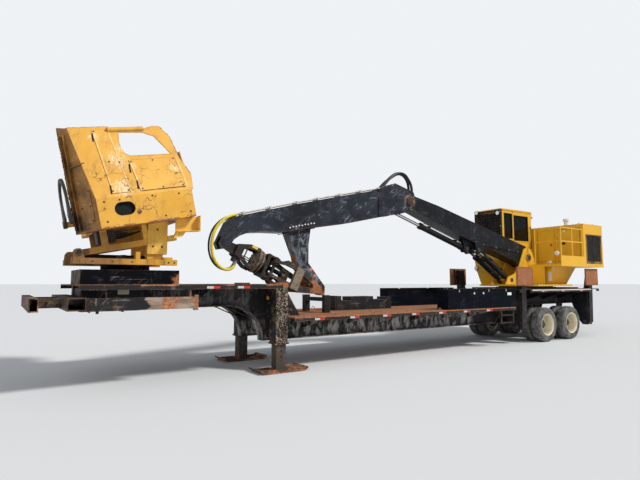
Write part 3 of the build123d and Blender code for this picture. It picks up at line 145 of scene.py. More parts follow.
class LoaderSizes(bpy.types.PropertyGroup):
    """Sizes of the small fittings."""

    bolt: length("Bolt head", "Radius of a bolt head", 0.016)
    nut: length("Wheel nut", "Radius of a wheel nut", 0.019)
    tread: length("Tread depth", "Depth of a tyre's grooves", 0.014)
    hose: length("Hose radius", "Radius of a pressure hose", 0.020)
    mesh: length("Mesh wire", "Radius of a guard's wire", 0.006)


# shader building


class Field:
    """One output of a shader node, which masks, sums and colours are made from."""

    def __init__(self, tree, socket):
        self.tree, self.socket = tree, socket

    def node(self, kind, inputs, output=0, **settings):
        """An output of a new node in the same tree."""
        return Field(self.tree, add(self.tree, kind, inputs, **settings).outputs[output])

    def maths(self, operation, a, b=0.5):
        """The result of a maths node."""
        return self.node("ShaderNodeMath", {0: a, 1: b}, operation=operation)

    def __add__(self, other):
        return self.maths("ADD", self, other)

    def __mul__(self, other):
        return self.maths("MULTIPLY", self, other)

    def __sub__(self, other):
        return self.maths("SUBTRACT", self, other)

    def __rsub__(self, other):
        return self.maths("SUBTRACT", other, self)

    def __or__(self, other):
        return self.maths("MAXIMUM", self, other)

    def __abs__(self):
        return self.maths("ABSOLUTE", self)

    def ramp(self, low, high):
        """Spread from 0 at low to 1 at high."""
        limits = {"Value": self, "From Min": low, "From Max": high}
        return self.node("ShaderNodeMapRange", limits, interpolation_type="SMOOTHSTEP")

    def between(self, low, high, soft=0.01):
        """1 between two limits, soft at both ends."""
        return self.ramp(low - soft, low + soft) * self.ramp(high + soft, high - soft)

    def noise(self, scale, detail=6.0, rough=0.55, distort=0.0):
        """A noise texture at these coordinates."""
        return self.node("ShaderNodeTexNoise", {"Vector": self, "Scale": scale, "Detail": detail,
            "Roughness": rough, "Distortion": distort}, "Fac")

    def scaled(self, *factors):
        """These coordinates scaled by three factors."""
        return self.node("ShaderNodeMapping", {"Vector": self, "Scale": factors})

    def parts(self):
        """The three parts of a vector."""
        return [Field(self.tree, s) for s in add(self.tree, "ShaderNodeSeparateXYZ", {0: self}).outputs]

    def inside(self, frame):
        """The three coordinates of this place in one of the machine's frames."""
        back = frame.inverted()
        return self.node("ShaderNodeMapping", {"Vector": self, "Location": tuple(back.translation),
            "Rotation": tuple(back.to_euler())}).parts()

    def distance(self, spot):
        """How far this place is from a spot."""
        return self.node("ShaderNodeVectorMath", {0: self, 1: tuple(spot)}, "Value", operation="DISTANCE")


def connect(tree, node, inputs):
    """Gives a node its values and incoming links."""
    for key, value in inputs.items():
        value = value.socket if isinstance(value, Field) else value
        if isinstance(value, bpy.types.NodeSocket):
            tree.links.new(value, node.inputs[key])
        else:
            node.inputs[key].default_value = value


def add(tree, kind, inputs=None, **settings):
    """A node with its settings, values and incoming links."""
    made = tree.nodes.new(kind)
    for key, value in settings.items():
        setattr(made, key, value)
    connect(tree, made, inputs or {})
    return made


def rgba(value):
    """A colour with its alpha; fields and numbers stay as they are."""
    return value if isinstance(value, (Field, float)) else (*value[:3], 1.0)


def mix(factor, a, b):
    """Colour a under colour b, which shows where the factor is 1."""
    tree = next(value.tree for value in (factor, a, b) if isinstance(value, Field))
    made = add(tree, "ShaderNodeMix", {0: factor, 6: rgba(a), 7: rgba(b)}, data_type="RGBA")
    return Field(tree, made.outputs[2])


def group(name, inputs, outputs):
    """An empty shader node group: labels and defaults in, labels and kinds out."""
    tree = bpy.data.node_groups.new(name, "ShaderNodeTree")
    for label, default in inputs.items():
        kind = "Float" if isinstance(default, float) else "Color" if default else "Vector"
        made = tree.interface.new_socket(name=label, in_out="INPUT", socket_type=f"NodeSocket{kind}")
        if default is not None:
            made.default_value = rgba(default)
    for label, kind in outputs.items():
        tree.interface.new_socket(name=label, in_out="OUTPUT", socket_type=f"NodeSocket{kind}")
    inlet, outlet = tree.nodes.new("NodeGroupInput"), tree.nodes.new("NodeGroupOutput")
    return tree, {socket.name: Field(tree, socket) for socket in inlet.outputs}, outlet


def weathering_group():
    """Paint with tone changes, scuffs, run-down streaks, chips, rust and top dust."""
    half = (0.5, 0.5, 0.5)
    tree, given, outlet = group("Weathered paint",
        {"Vector": None, "Paint": half, "Faded": half, "Grime": (0.05, 0.04, 0.03),
        "Rust": (0.27, 0.105, 0.045), "Dust": (0.26, 0.21, 0.16), "Scuff": (0.30, 0.31, 0.33), "Fade": 0.4,
        "Streaks": 0.3, "Chips": 0.3, "Scuffs": 0.0, "Dusty": 0.3, "Edges": 0.5, "Rusty": 0.0,
        "Gloss": 0.35}, {"Color": "Color", "Roughness": "Float", "Height": "Float"})
    place = given["Vector"]
    broad = place.noise(0.9, 5.0)
    patch = place.noise(4.0, 8.0, 0.62)
    fine = place.noise(38.0, 6.0, 0.6)
    tone = (broad * 0.6 + patch * 0.4).ramp(0.40, 0.62) * given["Fade"]
    faded = mix(tone, given["Paint"], given["Faded"])
    streak = place.scaled(9.0, 9.0, 0.6).noise(1.0, 5.0, 0.6).ramp(0.50, 0.72) * patch.ramp(0.38, 0.62)
    grimy = mix(streak * given["Streaks"], faded, given["Grime"])
    rubbed = place.scaled(1.6, 5.0, 46.0).noise(1.0, 4.0, 0.55, 0.4).ramp(0.60, 0.70)
    dragged = place.scaled(26.0, 26.0, 2.6).noise(1.0, 4.0, 0.6, 0.8).ramp(0.63, 0.72)
    slanted = place.node("ShaderNodeMapping", {"Vector": place, "Rotation": (0.2, 0.75, 0.1)})
    scratch = slanted.scaled(1.8, 12.0, 90.0).noise(1.0, 3.0, 0.5, 0.3).ramp(0.62, 0.68)
    scuff = (rubbed | dragged | scratch) * patch.ramp(0.44, 0.62) * given["Scuffs"]
    scuffed = mix(scuff, grimy, given["Scuff"])
    normal = place.node("ShaderNodeNewGeometry", {}, "Normal")
    bevel = place.node("ShaderNodeBevel", {"Radius": 0.016}, samples=4)
    turned = normal.node("ShaderNodeVectorMath", {0: normal, 1: bevel}, "Value", operation="DOT_PRODUCT")
    edge = (1.0 - turned).ramp(0.01, 0.14) * place.noise(7.0, 8.0, 0.7).ramp(0.42, 0.58) * given["Edges"]
    chips = (patch * 0.62 + fine * 0.38).ramp(0.575, 0.605) * given["Chips"]
    spread = (given["Rusty"] + (patch - 0.5) * 1.3).ramp(0.40, 0.56) * given["Rusty"].ramp(0.02, 0.2)
    bare = edge | chips | spread
    rust = mix(fine.ramp(0.36, 0.60), mix(0.6, given["Rust"], (0.07, 0.030, 0.018)), given["Rust"])
    pale = mix(0.40, given["Rust"], (0.66, 0.40, 0.25))
    rust = mix((patch * 0.5 + fine * 0.5).ramp(0.50, 0.66), rust, pale)
    top = normal.parts()[2].ramp(0.45, 0.95) * patch.ramp(0.36, 0.66) * given["Dusty"]
    rough = given["Gloss"] + patch * 0.16 + bare * 0.35 + top * 0.4
    connect(tree, outlet, {"Color": mix(top, mix(bare, scuffed, rust), given["Dust"]),
        "Roughness": rough.maths("MINIMUM", rough, 0.95),
        "Height": fine * (bare * 0.5 + 0.12) - bare * 0.5})


def new_material(name):
    """The tree of a new material, its surface shader and object coordinates."""
    made = bpy.data.materials.new(name)
    made.use_nodes = True
    tree = made.node_tree
    place = Field(tree, tree.nodes.new("ShaderNodeTexCoord").outputs["Object"])
    return tree, tree.nodes["Principled BSDF"], place


def weathered(name, paint, rusty=None, repaint=None, shine=0.5, **values):
    """Painted steel from the shared weathering group.

    rusty gives a mask of the rusty places, and repaint another paint, from x, y, z and the place.
    """
    tree, surface, place = new_material(name)
    settings = bpy.context.scene.loader_paint
    given = {"Paint": paint, "Faded": [c * 0.75 + 0.08 for c in paint], "Rust": settings.rust,
        "Dust": settings.dust, **values}
    if rusty or repaint:
        x, y, z = place.parts()
        for label, mask in (("Rusty", rusty), ("Paint", repaint)):
            if mask:
                given[label] = mask(x + MIDDLE, y, z, place)
    given = {label: rgba(value) for label, value in given.items()}
    wear = add(tree, "ShaderNodeGroup", node_tree=bpy.data.node_groups["Weathered paint"])
    connect(tree, wear, {"Vector": place, **given})
    bump = {"Height": wear.outputs["Height"], "Strength": 0.3, "Distance": 0.004}
    connect(tree, surface, {"Specular IOR Level": shine, "Base Color": wear.outputs["Color"],
        "Roughness": wear.outputs["Roughness"], "Normal": place.node("ShaderNodeBump", bump)})


def grained(name, dark, light, scale, rough, metal=0.0, bump=0.15):
    """A simple finish with a mottled tone."""
    tree, surface, place = new_material(name)
    grain = place.noise(scale, 8.0, 0.6)
    lift = {"Height": grain, "Strength": bump, "Distance": 0.003}
    connect(tree, surface, {"Base Color": mix(grain.ramp(0.3, 0.7), dark, light),
        "Roughness": grain * 0.2 + (rough - 0.1), "Metallic": metal,
        "Normal": place.node("ShaderNodeBump", lift)})


def glass():
    """Lightly tinted window glass."""
    tree, surface, place = new_material("Window glass")
    connect(tree, surface, {"Base Color": (0.045, 0.050, 0.040, 1), "Transmission Weight": 0.9,
        "IOR": 1.25, "Roughness": place.noise(6.0, 6.0) * 0.12})


def paint(name):
    """A finish by its name."""
    return bpy.data.materials[name]


# mesh building


def block(bm, low, high, frame=HERE):
    """A box between two corners of a frame."""
    v = [bm.verts.new(frame @ Vector((x, y, z))) for x in (low[0], high[0]) for y in (low[1], high[1])
        for z in (low[2], high[2])]
    for face in ((0, 1, 3, 2), (4, 6, 7, 5), (0, 4, 5, 1), (2, 3, 7, 6), (0, 2, 6, 4), (1, 5, 7, 3)):
        bm.faces.new([v[i] for i in face])


def prism(bm, outline, low, high, frame=HERE):
    """A closed outline of (across, up) points, given thickness along the frame's third axis."""
    rings = [[bm.verts.new(frame @ Vector((x, y, z))) for x, y in outline] for z in (low, high)]
    count = len(outline)
    for i in range(count):
        k = (i + 1) % count
        bm.faces.new((rings[0][i], rings[0][k], rings[1][k], rings[1][i]))
    bm.faces.new(rings[0])
    bm.faces.new(rings[1])


def surround(bm, x0, x1, y0, y1, width, low, high, frame):
    """A flat frame of four strips around an opening."""
    for a, b in (((x0 - width, y0 - width), (x1 + width, y0)),
            ((x0 - width, y1), (x1 + width, y1 + width)), ((x0 - width, y0), (x0, y1)),
            ((x1, y0), (x1 + width, y1))):
        block(bm, (*a, low), (*b, high), frame)


def rod(bm, a, b, r, sides=12, frame=HERE):
    """A closed round bar between two points of a frame."""
    a, b = frame @ Vector(a), frame @ Vector(b)
    run = b - a
    turn = run.to_track_quat("Z", "Y").to_matrix().to_4x4()
    bmesh.ops.create_cone(bm, cap_ends=True, segments=sides, radius1=r, radius2=r, depth=run.length,
        matrix=Matrix.Translation((a + b) / 2) @ turn)


def spun(centre, axis, r, along, turn):
    """A point at a radius from an axis through centre, a distance along it and a turn around it."""
    c, s = r * math.cos(turn), r * math.sin(turn)
    return Vector(centre) + Vector({"y": (c, along, s), "z": (c, s, along), "x": (along, c, s)}[axis])


def lathe(bm, profile, centre, axis="y", steps=64, frame=HERE, notch=0.0):
    """Closed profile of (radius, along) pairs turned about an axis through centre.

    notch pulls the points outside nine tenths of the radius in at every other pair of steps.
    """
    rings = []
    far_out = max(r for r, _ in profile) * 0.9
    for i in range(steps):
        t = 2 * math.pi * i / steps
        ring = []
        for r, along in profile:
            if notch and i % 4 < 2 and far_out < r < far_out / 0.9 - 0.002:
                r -= notch
            ring.append(bm.verts.new(frame @ spun(centre, axis, r, along, t)))
        rings.append(ring)
    count = len(profile)
    for i in range(steps):
        one, two = rings[i], rings[(i + 1) % steps]
        for j in range(count):
            k = (j + 1) % count
            bm.faces.new((one[j], one[k], two[k], two[j]))


def dome(bm, profile, centre, axis="y", steps=32, frame=HERE):
    """An open profile of (radius, along) pairs turned about an axis and closed at both ends."""
    rings = []
    for r, along in profile:
        ring = []
        for i in range(steps):
            t = 2 * math.pi * i / steps
            ring.append(bm.verts.new(frame @ spun(centre, axis, r, along, t)))
        rings.append(ring)
    for one, two in zip(rings, rings[1:]):
        for i in range(steps):
            k = (i + 1) % steps
            bm.faces.new((one[i], one[k], two[k], two[i]))
    bm.faces.new(rings[0])
    bm.faces.new(rings[-1])


def linked(name, bm, material):
    """An object of the scene from a mesh under construction."""
    mesh = bpy.data.meshes.new(name)
    bm.to_mesh(mesh)
    bm.free()
    mesh.materials.append(paint(material))
    made = bpy.data.objects.new(name, mesh)
    bpy.context.scene.collection.objects.link(made)
    return made


def finish_piece(name, bm, material, body, smooth=False, bevel=0.0):
    """Makes the object, cleans its faces and hangs it on its body; given the joint of two bodies, it leaves
    the piece unhung where it is.
    """
    bmesh.ops.remove_doubles(bm, verts=bm.verts, dist=1e-6)
    bmesh.ops.recalc_face_normals(bm, faces=bm.faces)
    made = linked(name, bm, material)
    if bevel:
        edge = made.modifiers.new("Edge", "BEVEL")
        edge.width, edge.segments, edge.limit_method = bevel, 2, "ANGLE"
        bake(made)
    if smooth:
        made.data.shade_smooth()
        made.data.set_sharp_from_angle(angle=math.radians(35))
    if isinstance(body, str):
        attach(made, body)
    else:
        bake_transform(made)
    return made


def rounded(name, bm, material, body):
    """A smooth piece."""
    return finish_piece(name, bm, material, body, smooth=True)


def boxes(name, blocks, material, body, frame=HERE, bevel=0.003):
    """Several boxes of a frame as one piece with softened edges."""
    bm = bmesh.new()
    for low, high in blocks:
        block(bm, low, high, frame)
    return finish_piece(name, bm, material, body, bevel=bevel)


def hose(name, route, r, material, body, frame=HERE):
    """A held hose or pipe along a smooth line through its route."""
    curve = bpy.data.curves.new(name, "CURVE")
    curve.dimensions = "3D"
    spline = curve.splines.new("NURBS")
    spline.points.add(len(route) - 1)
    for point, place in zip(spline.points, route):
        point.co = (*(frame @ Vector(place)), 1.0)
    spline.order_u = 3
    spline.use_endpoint_u = True
    curve.bevel_depth, curve.bevel_resolution, curve.resolution_u = r, 3, 10
    curve.use_fill_caps = True
    shape = bpy.data.objects.new(name + "_line", curve)
    bpy.context.scene.collection.objects.link(shape)
    bpy.context.view_layer.update()
    solved = shape.evaluated_get(bpy.context.evaluated_depsgraph_get())
    mesh = bpy.data.meshes.new_from_object(solved)
    bpy.data.objects.remove(shape)
    bpy.data.curves.remove(curve)
    bm = bmesh.new()
    bm.from_mesh(mesh)
    bpy.data.meshes.remove(mesh)
    return rounded(name, bm, material, body)


def bake(made):
    """Turns a piece's modifiers into plain mesh."""
    bpy.context.view_layer.update()
    solved = made.evaluated_get(bpy.context.evaluated_depsgraph_get())
    mesh = bpy.data.meshes.new_from_object(solved)
    made.modifiers.clear()
    old, made.data = made.data, mesh
    bpy.data.meshes.remove(old)


def spreading(name, inputs):
    """An empty geometry nodes tree with its inputs, given by label and kind, and one output."""
    tree = bpy.data.node_groups.new(name, "GeometryNodeTree")
    for label, kind in inputs.items():
        tree.interface.new_socket(name=label, in_out="INPUT", socket_type=f"NodeSocket{kind}")
    tree.interface.new_socket(name="Result", in_out="OUTPUT", socket_type="NodeSocketGeometry")
    inlet = tree.nodes.new("NodeGroupInput")
    return tree, {socket.name: Field(tree, socket) for socket in inlet.outputs}


def place_all(tree, mesh, piece, finish, turn=None):
    """Puts a piece on every point of a mesh, makes it real and gives it its material."""
    dots = add(tree, "GeometryNodeMeshToPoints", {"Mesh": mesh})
    placed = add(tree, "GeometryNodeInstanceOnPoints", {"Points": dots.outputs[0], "Instance": piece})
    if turn:
        tree.links.new(turn, placed.inputs["Rotation"])
    real = add(tree, "GeometryNodeRealizeInstances", {0: placed.outputs[0]})
    done = add(tree, "GeometryNodeSetMaterial", {0: real.outputs[0], "Material": finish})
    tree.links.new(done.outputs[0], tree.nodes.new("NodeGroupOutput").inputs[0])
    return tree


def heads_tree():
    """Geometry nodes: a bolt head with a washer on each point, facing its own way."""
    tree, given = spreading("Bolt heads", {"Places": "Geometry", "Radius": "Float", "Height": "Float",
        "Finish": "Material"})
    radius, height = given["Radius"], given["Height"]
    head = add(tree, "GeometryNodeMeshCylinder", {"Vertices": 6, "Radius": radius, "Depth": height})
    washer = add(tree, "GeometryNodeMeshCylinder",
        {"Vertices": 14, "Radius": radius * 1.35, "Depth": height * 0.3})
    lift = add(tree, "ShaderNodeCombineXYZ", {"Z": height * 0.5})
    raised = add(tree, "GeometryNodeTransform", {"Geometry": head.outputs["Mesh"],
        "Translation": lift.outputs[0]})
    both_parts = tree.nodes.new("GeometryNodeJoinGeometry")
    for part in (raised.outputs[0], washer.outputs["Mesh"]):
        tree.links.new(part, both_parts.inputs[0])
    facing = add(tree, "GeometryNodeInputNamedAttribute", {"Name": "facing"}, data_type="FLOAT_VECTOR")
    turn = add(tree, "FunctionNodeAlignRotationToVector", {"Vector": facing.outputs[0]}, axis="Z")
    return place_all(tree, given["Places"], both_parts.outputs[0], given["Finish"], turn.outputs[0])


def bolt_heads(name, places, body, material="Bare bolt", radius=None, height=0.012, frame=HERE):
    """Bolt heads at (point, facing) pairs of a frame, on one body."""
    radius = radius or bpy.context.scene.loader_sizes.bolt
    turn = frame.to_3x3()
    mesh = bpy.data.meshes.new(name)
    mesh.from_pydata([tuple(frame @ Vector(p)) for p, _ in places], [], [])
    facing = mesh.attributes.new("facing", "FLOAT_VECTOR", "POINT")
    facing.data.foreach_set("vector", [c for _, f in places for c in turn @ Vector(f)])
    return repeated(name, mesh, "Bolt heads", heads_tree, body,
        {"Radius": radius, "Height": height, "Finish": paint(material)})


def row_tree():
    """Geometry nodes: a piece repeated in even steps."""
    tree, given = spreading("Row", {"Piece": "Geometry", "Count": "Int", "Step": "Vector",
        "Finish": "Material"})
    line = add(tree, "GeometryNodeMeshLine", {"Count": given["Count"], "Offset": given["Step"]})
    return place_all(tree, line.outputs[0], given["Piece"], given["Finish"])


def row(name, bm, count, step, material, body, frame=HERE):
    """A piece repeated along a line of a frame."""
    bmesh.ops.recalc_face_normals(bm, faces=bm.faces)
    mesh = bpy.data.meshes.new(name)
    bm.to_mesh(mesh)
    bm.free()
    return repeated(name, mesh, "Row", row_tree, body,
        {"Count": count, "Step": frame.to_3x3() @ Vector(step), "Finish": paint(material)})


def repeated(name, mesh, tree_name, build, body, values):
    """Runs a geometry nodes tree on a mesh and keeps the result as plain mesh."""
    made = bpy.data.objects.new(name, mesh)
    bpy.context.scene.collection.objects.link(made)
    tree = bpy.data.node_groups.get(tree_name) or build()
    nodes = made.modifiers.new(tree_name, "NODES")
    nodes.node_group = tree
    sockets = {s.name: s.identifier for s in tree.interface.items_tree if s.in_out == "INPUT"}
    for label, value in values.items():
        nodes[sockets[label]] = value
    bake(made)
    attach(made, body)
    return made


def around(centre, ring, count, facing, start=0.0, axis="y"):
    """Bolt places evenly round a ring."""
    turns = [2 * math.pi * (i + start) / count for i in range(count)]
    return [(tuple(spun(centre, axis, ring, 0, t)), facing) for t in turns]


# masks of wear on this machine, from x, y, z and the place


def pad_faces(x, y, z, place):
    """The rusty outward plates of the folded stabilizers."""
    return abs(y).ramp(1.108, 1.122) * z.ramp(1.55, 1.565)


def sleeve_top(x, y, z, place):
    """The bare cap of the front leg sleeves."""
    return z.ramp(1.55, 1.565)


def speckled(x, y, z, place):
    """Black paint flaked to tan specks on the sleeves' outer faces."""
    outer = abs(y).ramp(0.945, 0.955) * place.noise(34.0, 6.0, 0.6, 0.6).ramp(0.53, 0.565)
    inner = place.noise(9.0, 6.0, 0.6).ramp(0.56, 0.66) * 0.45
    return mix(outer | inner, (0.010, 0.010, 0.011), (0.38, 0.295, 0.20))


def frame_scuffed(x, y, z, place):
    """Grey rubbed webs of the trailer's frame."""
    rub = place.scaled(7.0, 7.0, 3.0).noise(1.0, 7.0, 0.65, 0.6).ramp(0.42, 0.62)
    web = x.between(-2.3, 6.2, 0.05) * z.ramp(0.98, 0.90)
    neck = x.between(-2.3, -0.15, 0.05) * 0.3
    return mix((web | neck) * rub, (0.011, 0.012, 0.013), (0.42, 0.41, 0.39))


def leg_wear(x, y, z, place):
    """Bare rust on the foot plates, little on the posts."""
    return z.ramp(0.16, 0.06) * 0.21 + 0.24


def deck_wear(x, y, z, place):
    """Rust where the neck and the low deck are walked and loaded on."""
    low = z.between(0.986, 1.03, 0.003) * x.ramp(0.2, 0.3)
    return low | z.ramp(1.594, 1.6) * 0.46 | z.between(1.438, 1.48, 0.003) * 0.35


def bar_wear(x, y, z, place):
    """Rust on the edges of the side beams' rear half and on the front tube."""
    return x.ramp(-2.45, -2.1) * 0.46 | x.ramp(-3.72, -3.86) * 0.40


def bar_bare(x, y, z, place):
    """Pale scraped steel on the side beams' rear half, black ahead of it."""
    patch = place.scaled(1.5, 6.0, 6.0).noise(2.0, 6.0, 0.6)
    bare = mix(patch.ramp(0.40, 0.62), (0.20, 0.130, 0.090), (0.36, 0.27, 0.21))
    tube = x.between(-3.80, -3.36, 0.02) * patch.ramp(0.35, 0.6)
    front = mix(tube, (0.014, 0.013, 0.013), (0.10, 0.062, 0.035))
    return mix((x + patch * 0.5).ramp(-2.16, -2.10), front, bare)


def elbow_ring(x, z):
    """A ring around the elbow's pin."""
    spot = x.node("ShaderNodeCombineXYZ", {"X": x, "Z": z})
    return spot.distance(ELBOW_PIN).between(0.09, 0.20, 0.05)


def heel_wear(x, y, z, place):
    """Bare lower end of the heel, where logs are held, and rust around the elbow's pin."""
    ends = x.node("ShaderNodeNewGeometry", {}, "Normal").parts()[0]
    face = abs(ends).ramp(0.2, 0.6) * z.ramp(2.5, 2.0)
    return elbow_ring(x, z) * 0.46 | x.between(0.9, 1.8, 0.05) * (z.ramp(1.90, 1.45) * 0.62 | face)


def stick_scuffed(x, y, z, place):
    """Grey rubbed steel on the heel, brown around the elbow's pin."""
    rub = place.scaled(10.0, 10.0, 4.0).noise(1.0, 7.0, 0.68, 0.9).ramp(0.45, 0.62)
    heel = x.between(0.5, 1.6, 0.05) * z.ramp(2.74, 2.66)
    grey = mix(heel * rub, (0.012, 0.014, 0.018), (0.20, 0.21, 0.225))
    return mix(elbow_ring(x, z) * rub, grey, (0.19, 0.125, 0.09))


def base_wear(x, y, z, place):
    """Scraped rear end of the box under the delimber."""
    return x.ramp(-2.15, -1.75) * 0.44


def base_ends(x, y, z, place):
    """Grey-brown front end of the box under the delimber."""
    end = x.ramp(-3.252, -3.258) * place.noise(5.0, 6.0, 0.6).ramp(0.36, 0.58)
    return mix(end, (0.004, 0.0045, 0.007), (0.16, 0.125, 0.095))


def grapple_worn(x, y, z, place):
    """Rust on the swivel ring and toward the tongs' tips."""
    along = place.inside(GRAPPLE)[0]
    return along.between(0.738, 0.852, 0.003) * 0.26 | along.ramp(1.75, 2.3) * 0.72


def ring_bare(x, y, z, place):
    """The worn tan edges of the swivel ring."""
    along = place.inside(GRAPPLE)[0]
    rims = along.between(0.738, 0.782, 0.002) | along.between(0.832, 0.852, 0.002)
    patch = place.noise(14.0, 6.0, 0.6).ramp(0.36, 0.56)
    return mix(rims * patch, (0.020, 0.018, 0.017), (0.38, 0.29, 0.20))


def plate_bare(x, y, z, place):
    """The pale scraped plate across the tongs."""
    patch = place.noise(11.0, 6.0, 0.6).ramp(0.30, 0.50)
    plate = place.inside(GRAPPLE)[0].between(1.56, 1.75, 0.01)
    return mix(plate * patch, (0.030, 0.026, 0.023), (0.25, 0.20, 0.135))


def bleached(x, y, z, place):
    """Delimber paint with chalky scuffed patches, hairline cracks, pale seam strips of painted highlight and
    worn paint, painted light on the column under the box, and a front darkened by painted shade and mottled
    dirt.
    """
    patch = place.scaled(1.6, 1.6, 1.1).noise(1.7, 7.0, 0.62)
    rub = place.scaled(24.0, 24.0, 9.0).noise(1.0, 5.0, 0.65, 1.2)
    sunned = mix(patch.ramp(0.40, 0.64), bpy.context.scene.loader_paint.delimber, (0.80, 0.43, 0.065))
    white = 0.0
    for u, s, reach in ((0.46, 0.62, 0.24), (0.42, 0.16, 0.24), (0.20, 1.08, 0.12), (1.34, 0.44, 0.12),
            (0.56, 0.86, 0.15), (0.66, 0.52, 0.10)):
        white = place.distance(LEAN @ Vector((u, s, 0))).ramp(reach, reach * 0.25) | white
    chalky = mix(white * rub.ramp(0.42, 0.62) * 0.85, sunned, (0.90, 0.80, 0.56))
    bend = place.node("ShaderNodeTexNoise", {"Vector": place, "Scale": 2.2, "Detail": 3.0}, "Color")
    bent = place.node("ShaderNodeVectorMath", {0: place, 1: bend}, operation="ADD")
    cells = {"Vector": bent, "Scale": 2.6}
    crack = place.node("ShaderNodeTexVoronoi", cells, "Distance", feature="DISTANCE_TO_EDGE")
    along, _, up = place.inside(DELIMBER)
    crack = crack.ramp(0.016, 0.007) * place.noise(2.3, 4.0, 0.6).ramp(0.46, 0.54) * up.ramp(1.15, 0.75)
    # painted highlight, partly worn paint: pale strips beside the covers' seams
    with_seam_highlights_and_wear = mix(pale_seams(place) * rub.ramp(0.34, 0.50), chalky, (0.90, 0.66, 0.27))
    cracked = mix(crack * 0.9, with_seam_highlights_and_wear, (0.05, 0.027, 0.012))
    shade = up.ramp(-0.01, -0.06) * along.ramp(0.75, 0.2) * 0.7
    shaded = mix(shade, cracked, (0.16, 0.085, 0.022))
    # painted light: the column's face under the box's overhang is brightened to cancel the shadow the
    # overhang casts on it
    column = up.ramp(-0.01, -0.03) * along.ramp(0.68, 0.74) * y.ramp(-0.58, -0.60) * 0.85
    with_painted_column_light = mix(column, shaded, (0.98, 0.62, 0.105))
    # painted shade: the slanted front face is turned dark brown, mottled like dirt
    across, _, out = place.inside(MOUTH)
    front_shade_and_dirt = (patch + across * 0.22).ramp(0.42, 0.66)
    return mix(out.ramp(-0.02, -0.004), with_painted_column_light, mix(front_shade_and_dirt, (0.024, 0.013, 0.008), (0.165, 0.084, 0.025)))


def pale_seams(place):
    """Painted highlights, partly worn paint, as bright strips beside the covers' long edges: ends of each
    edge along and up the sheet.
    """
    along, up, out = place.inside(LEAN)
    found = 0.0
    for u0, v0, u1, v1 in ((0.20, 1.214, 0.27, 0.06), (0.43, 1.214, 0.54, 0.06), (0.64, 0.62, 0.70, 0.06),
            (1.42, 0.63, 1.46, 0.06)):
        slope = (u1 - u0) / (v1 - v0)
        strip = (along - (up * slope + (u0 - v0 * slope))).between(0.006, 0.026, 0.006)
        found = strip * up.between(v1, v0, 0.02) | found
    return found * out.between(-0.03, 0.02, 0.005)


def torn_rims(x, y, z, place):
    """Rust along the delimber's lower rim."""
    return place.inside(DELIMBER)[2].between(-0.02, 0.012, 0.006) * 0.5


def screen_surround(x, y, z, place):
    """Cab yellow, black around the screens on the housing's side walls."""
    panel = x.between(10.565, 11.515, 0.004) * z.between(2.215, 3.125, 0.004)
    black = abs(y).ramp(1.2545, 1.256) * panel
    return mix(black, bpy.context.scene.loader_paint.cab, (0.012, 0.012, 0.013))


def pedestal_darker_front(x, y, z, place):
    """Turntable yellow that turns brown toward its front end."""
    front = (x + place.noise(3.0, 6.0, 0.6) * 0.6).ramp(-2.0, -2.7)
    darkened = mix(front, bpy.context.scene.loader_paint.delimber, (0.22, 0.115, 0.035))
    return mix(x.ramp(-3.40, -3.47), darkened, (0.20, 0.15, 0.11))


# operators


def both(stem):
    """The names of a part's four copies at the front and rear, near and far."""
    return [f"{stem}_{a}_{b}" for a in ("front", "rear") for b in ("near", "far")]


PAINTED = {"Trailer black": ["main_frame", "kingpin", "boom_rest", "ladder", "running_gear",
    "stabilizer_pockets", "turntable_base"], "Box black": ["tool_boxes"], "Sleeve black": ["leg_sleeves"],
    "Leg steel": ["leg_near", "leg_far"], "Bar steel": ["skidder_bar"], "Base black": ["delimber_base"],
    "Deck steel": ["decks"], "Boom black": ["main_boom", "lift_barrels", "stick_barrel"],
    "Stick black": ["stick_boom"], "Pipe steel": ["stick_pipes"],
    "Grapple steel": ["grapple_hanger", "grapple_head"], "Tong steel": ["tong_near", "tong_far"],
    "Knife steel": ["knife_near", "knife_far"], "Delimber yellow": ["delimber_housing"],
    "Pedestal yellow": ["delimber_pedestal"], "Cab yellow": ["swing_frame", "upper_deck", "fluid_tank",
    "engine_housing", "housing_door", "cab_shell", "cab_door", "catwalk"],
    "Guard black": ["cab_guard", "housing_grille"], "Rod chrome": ["lift_rods", "stick_rod"],
    "Engine grey": ["engine_block"], "Cushion cloth": ["cab_seat"],
    "Hose rubber": ["elbow_hoses", "nose_hoses"], "Tyre rubber": both("tyres"), "Rim cream": both("rims"),
    "Stabilizer black": both("stabilizer")}


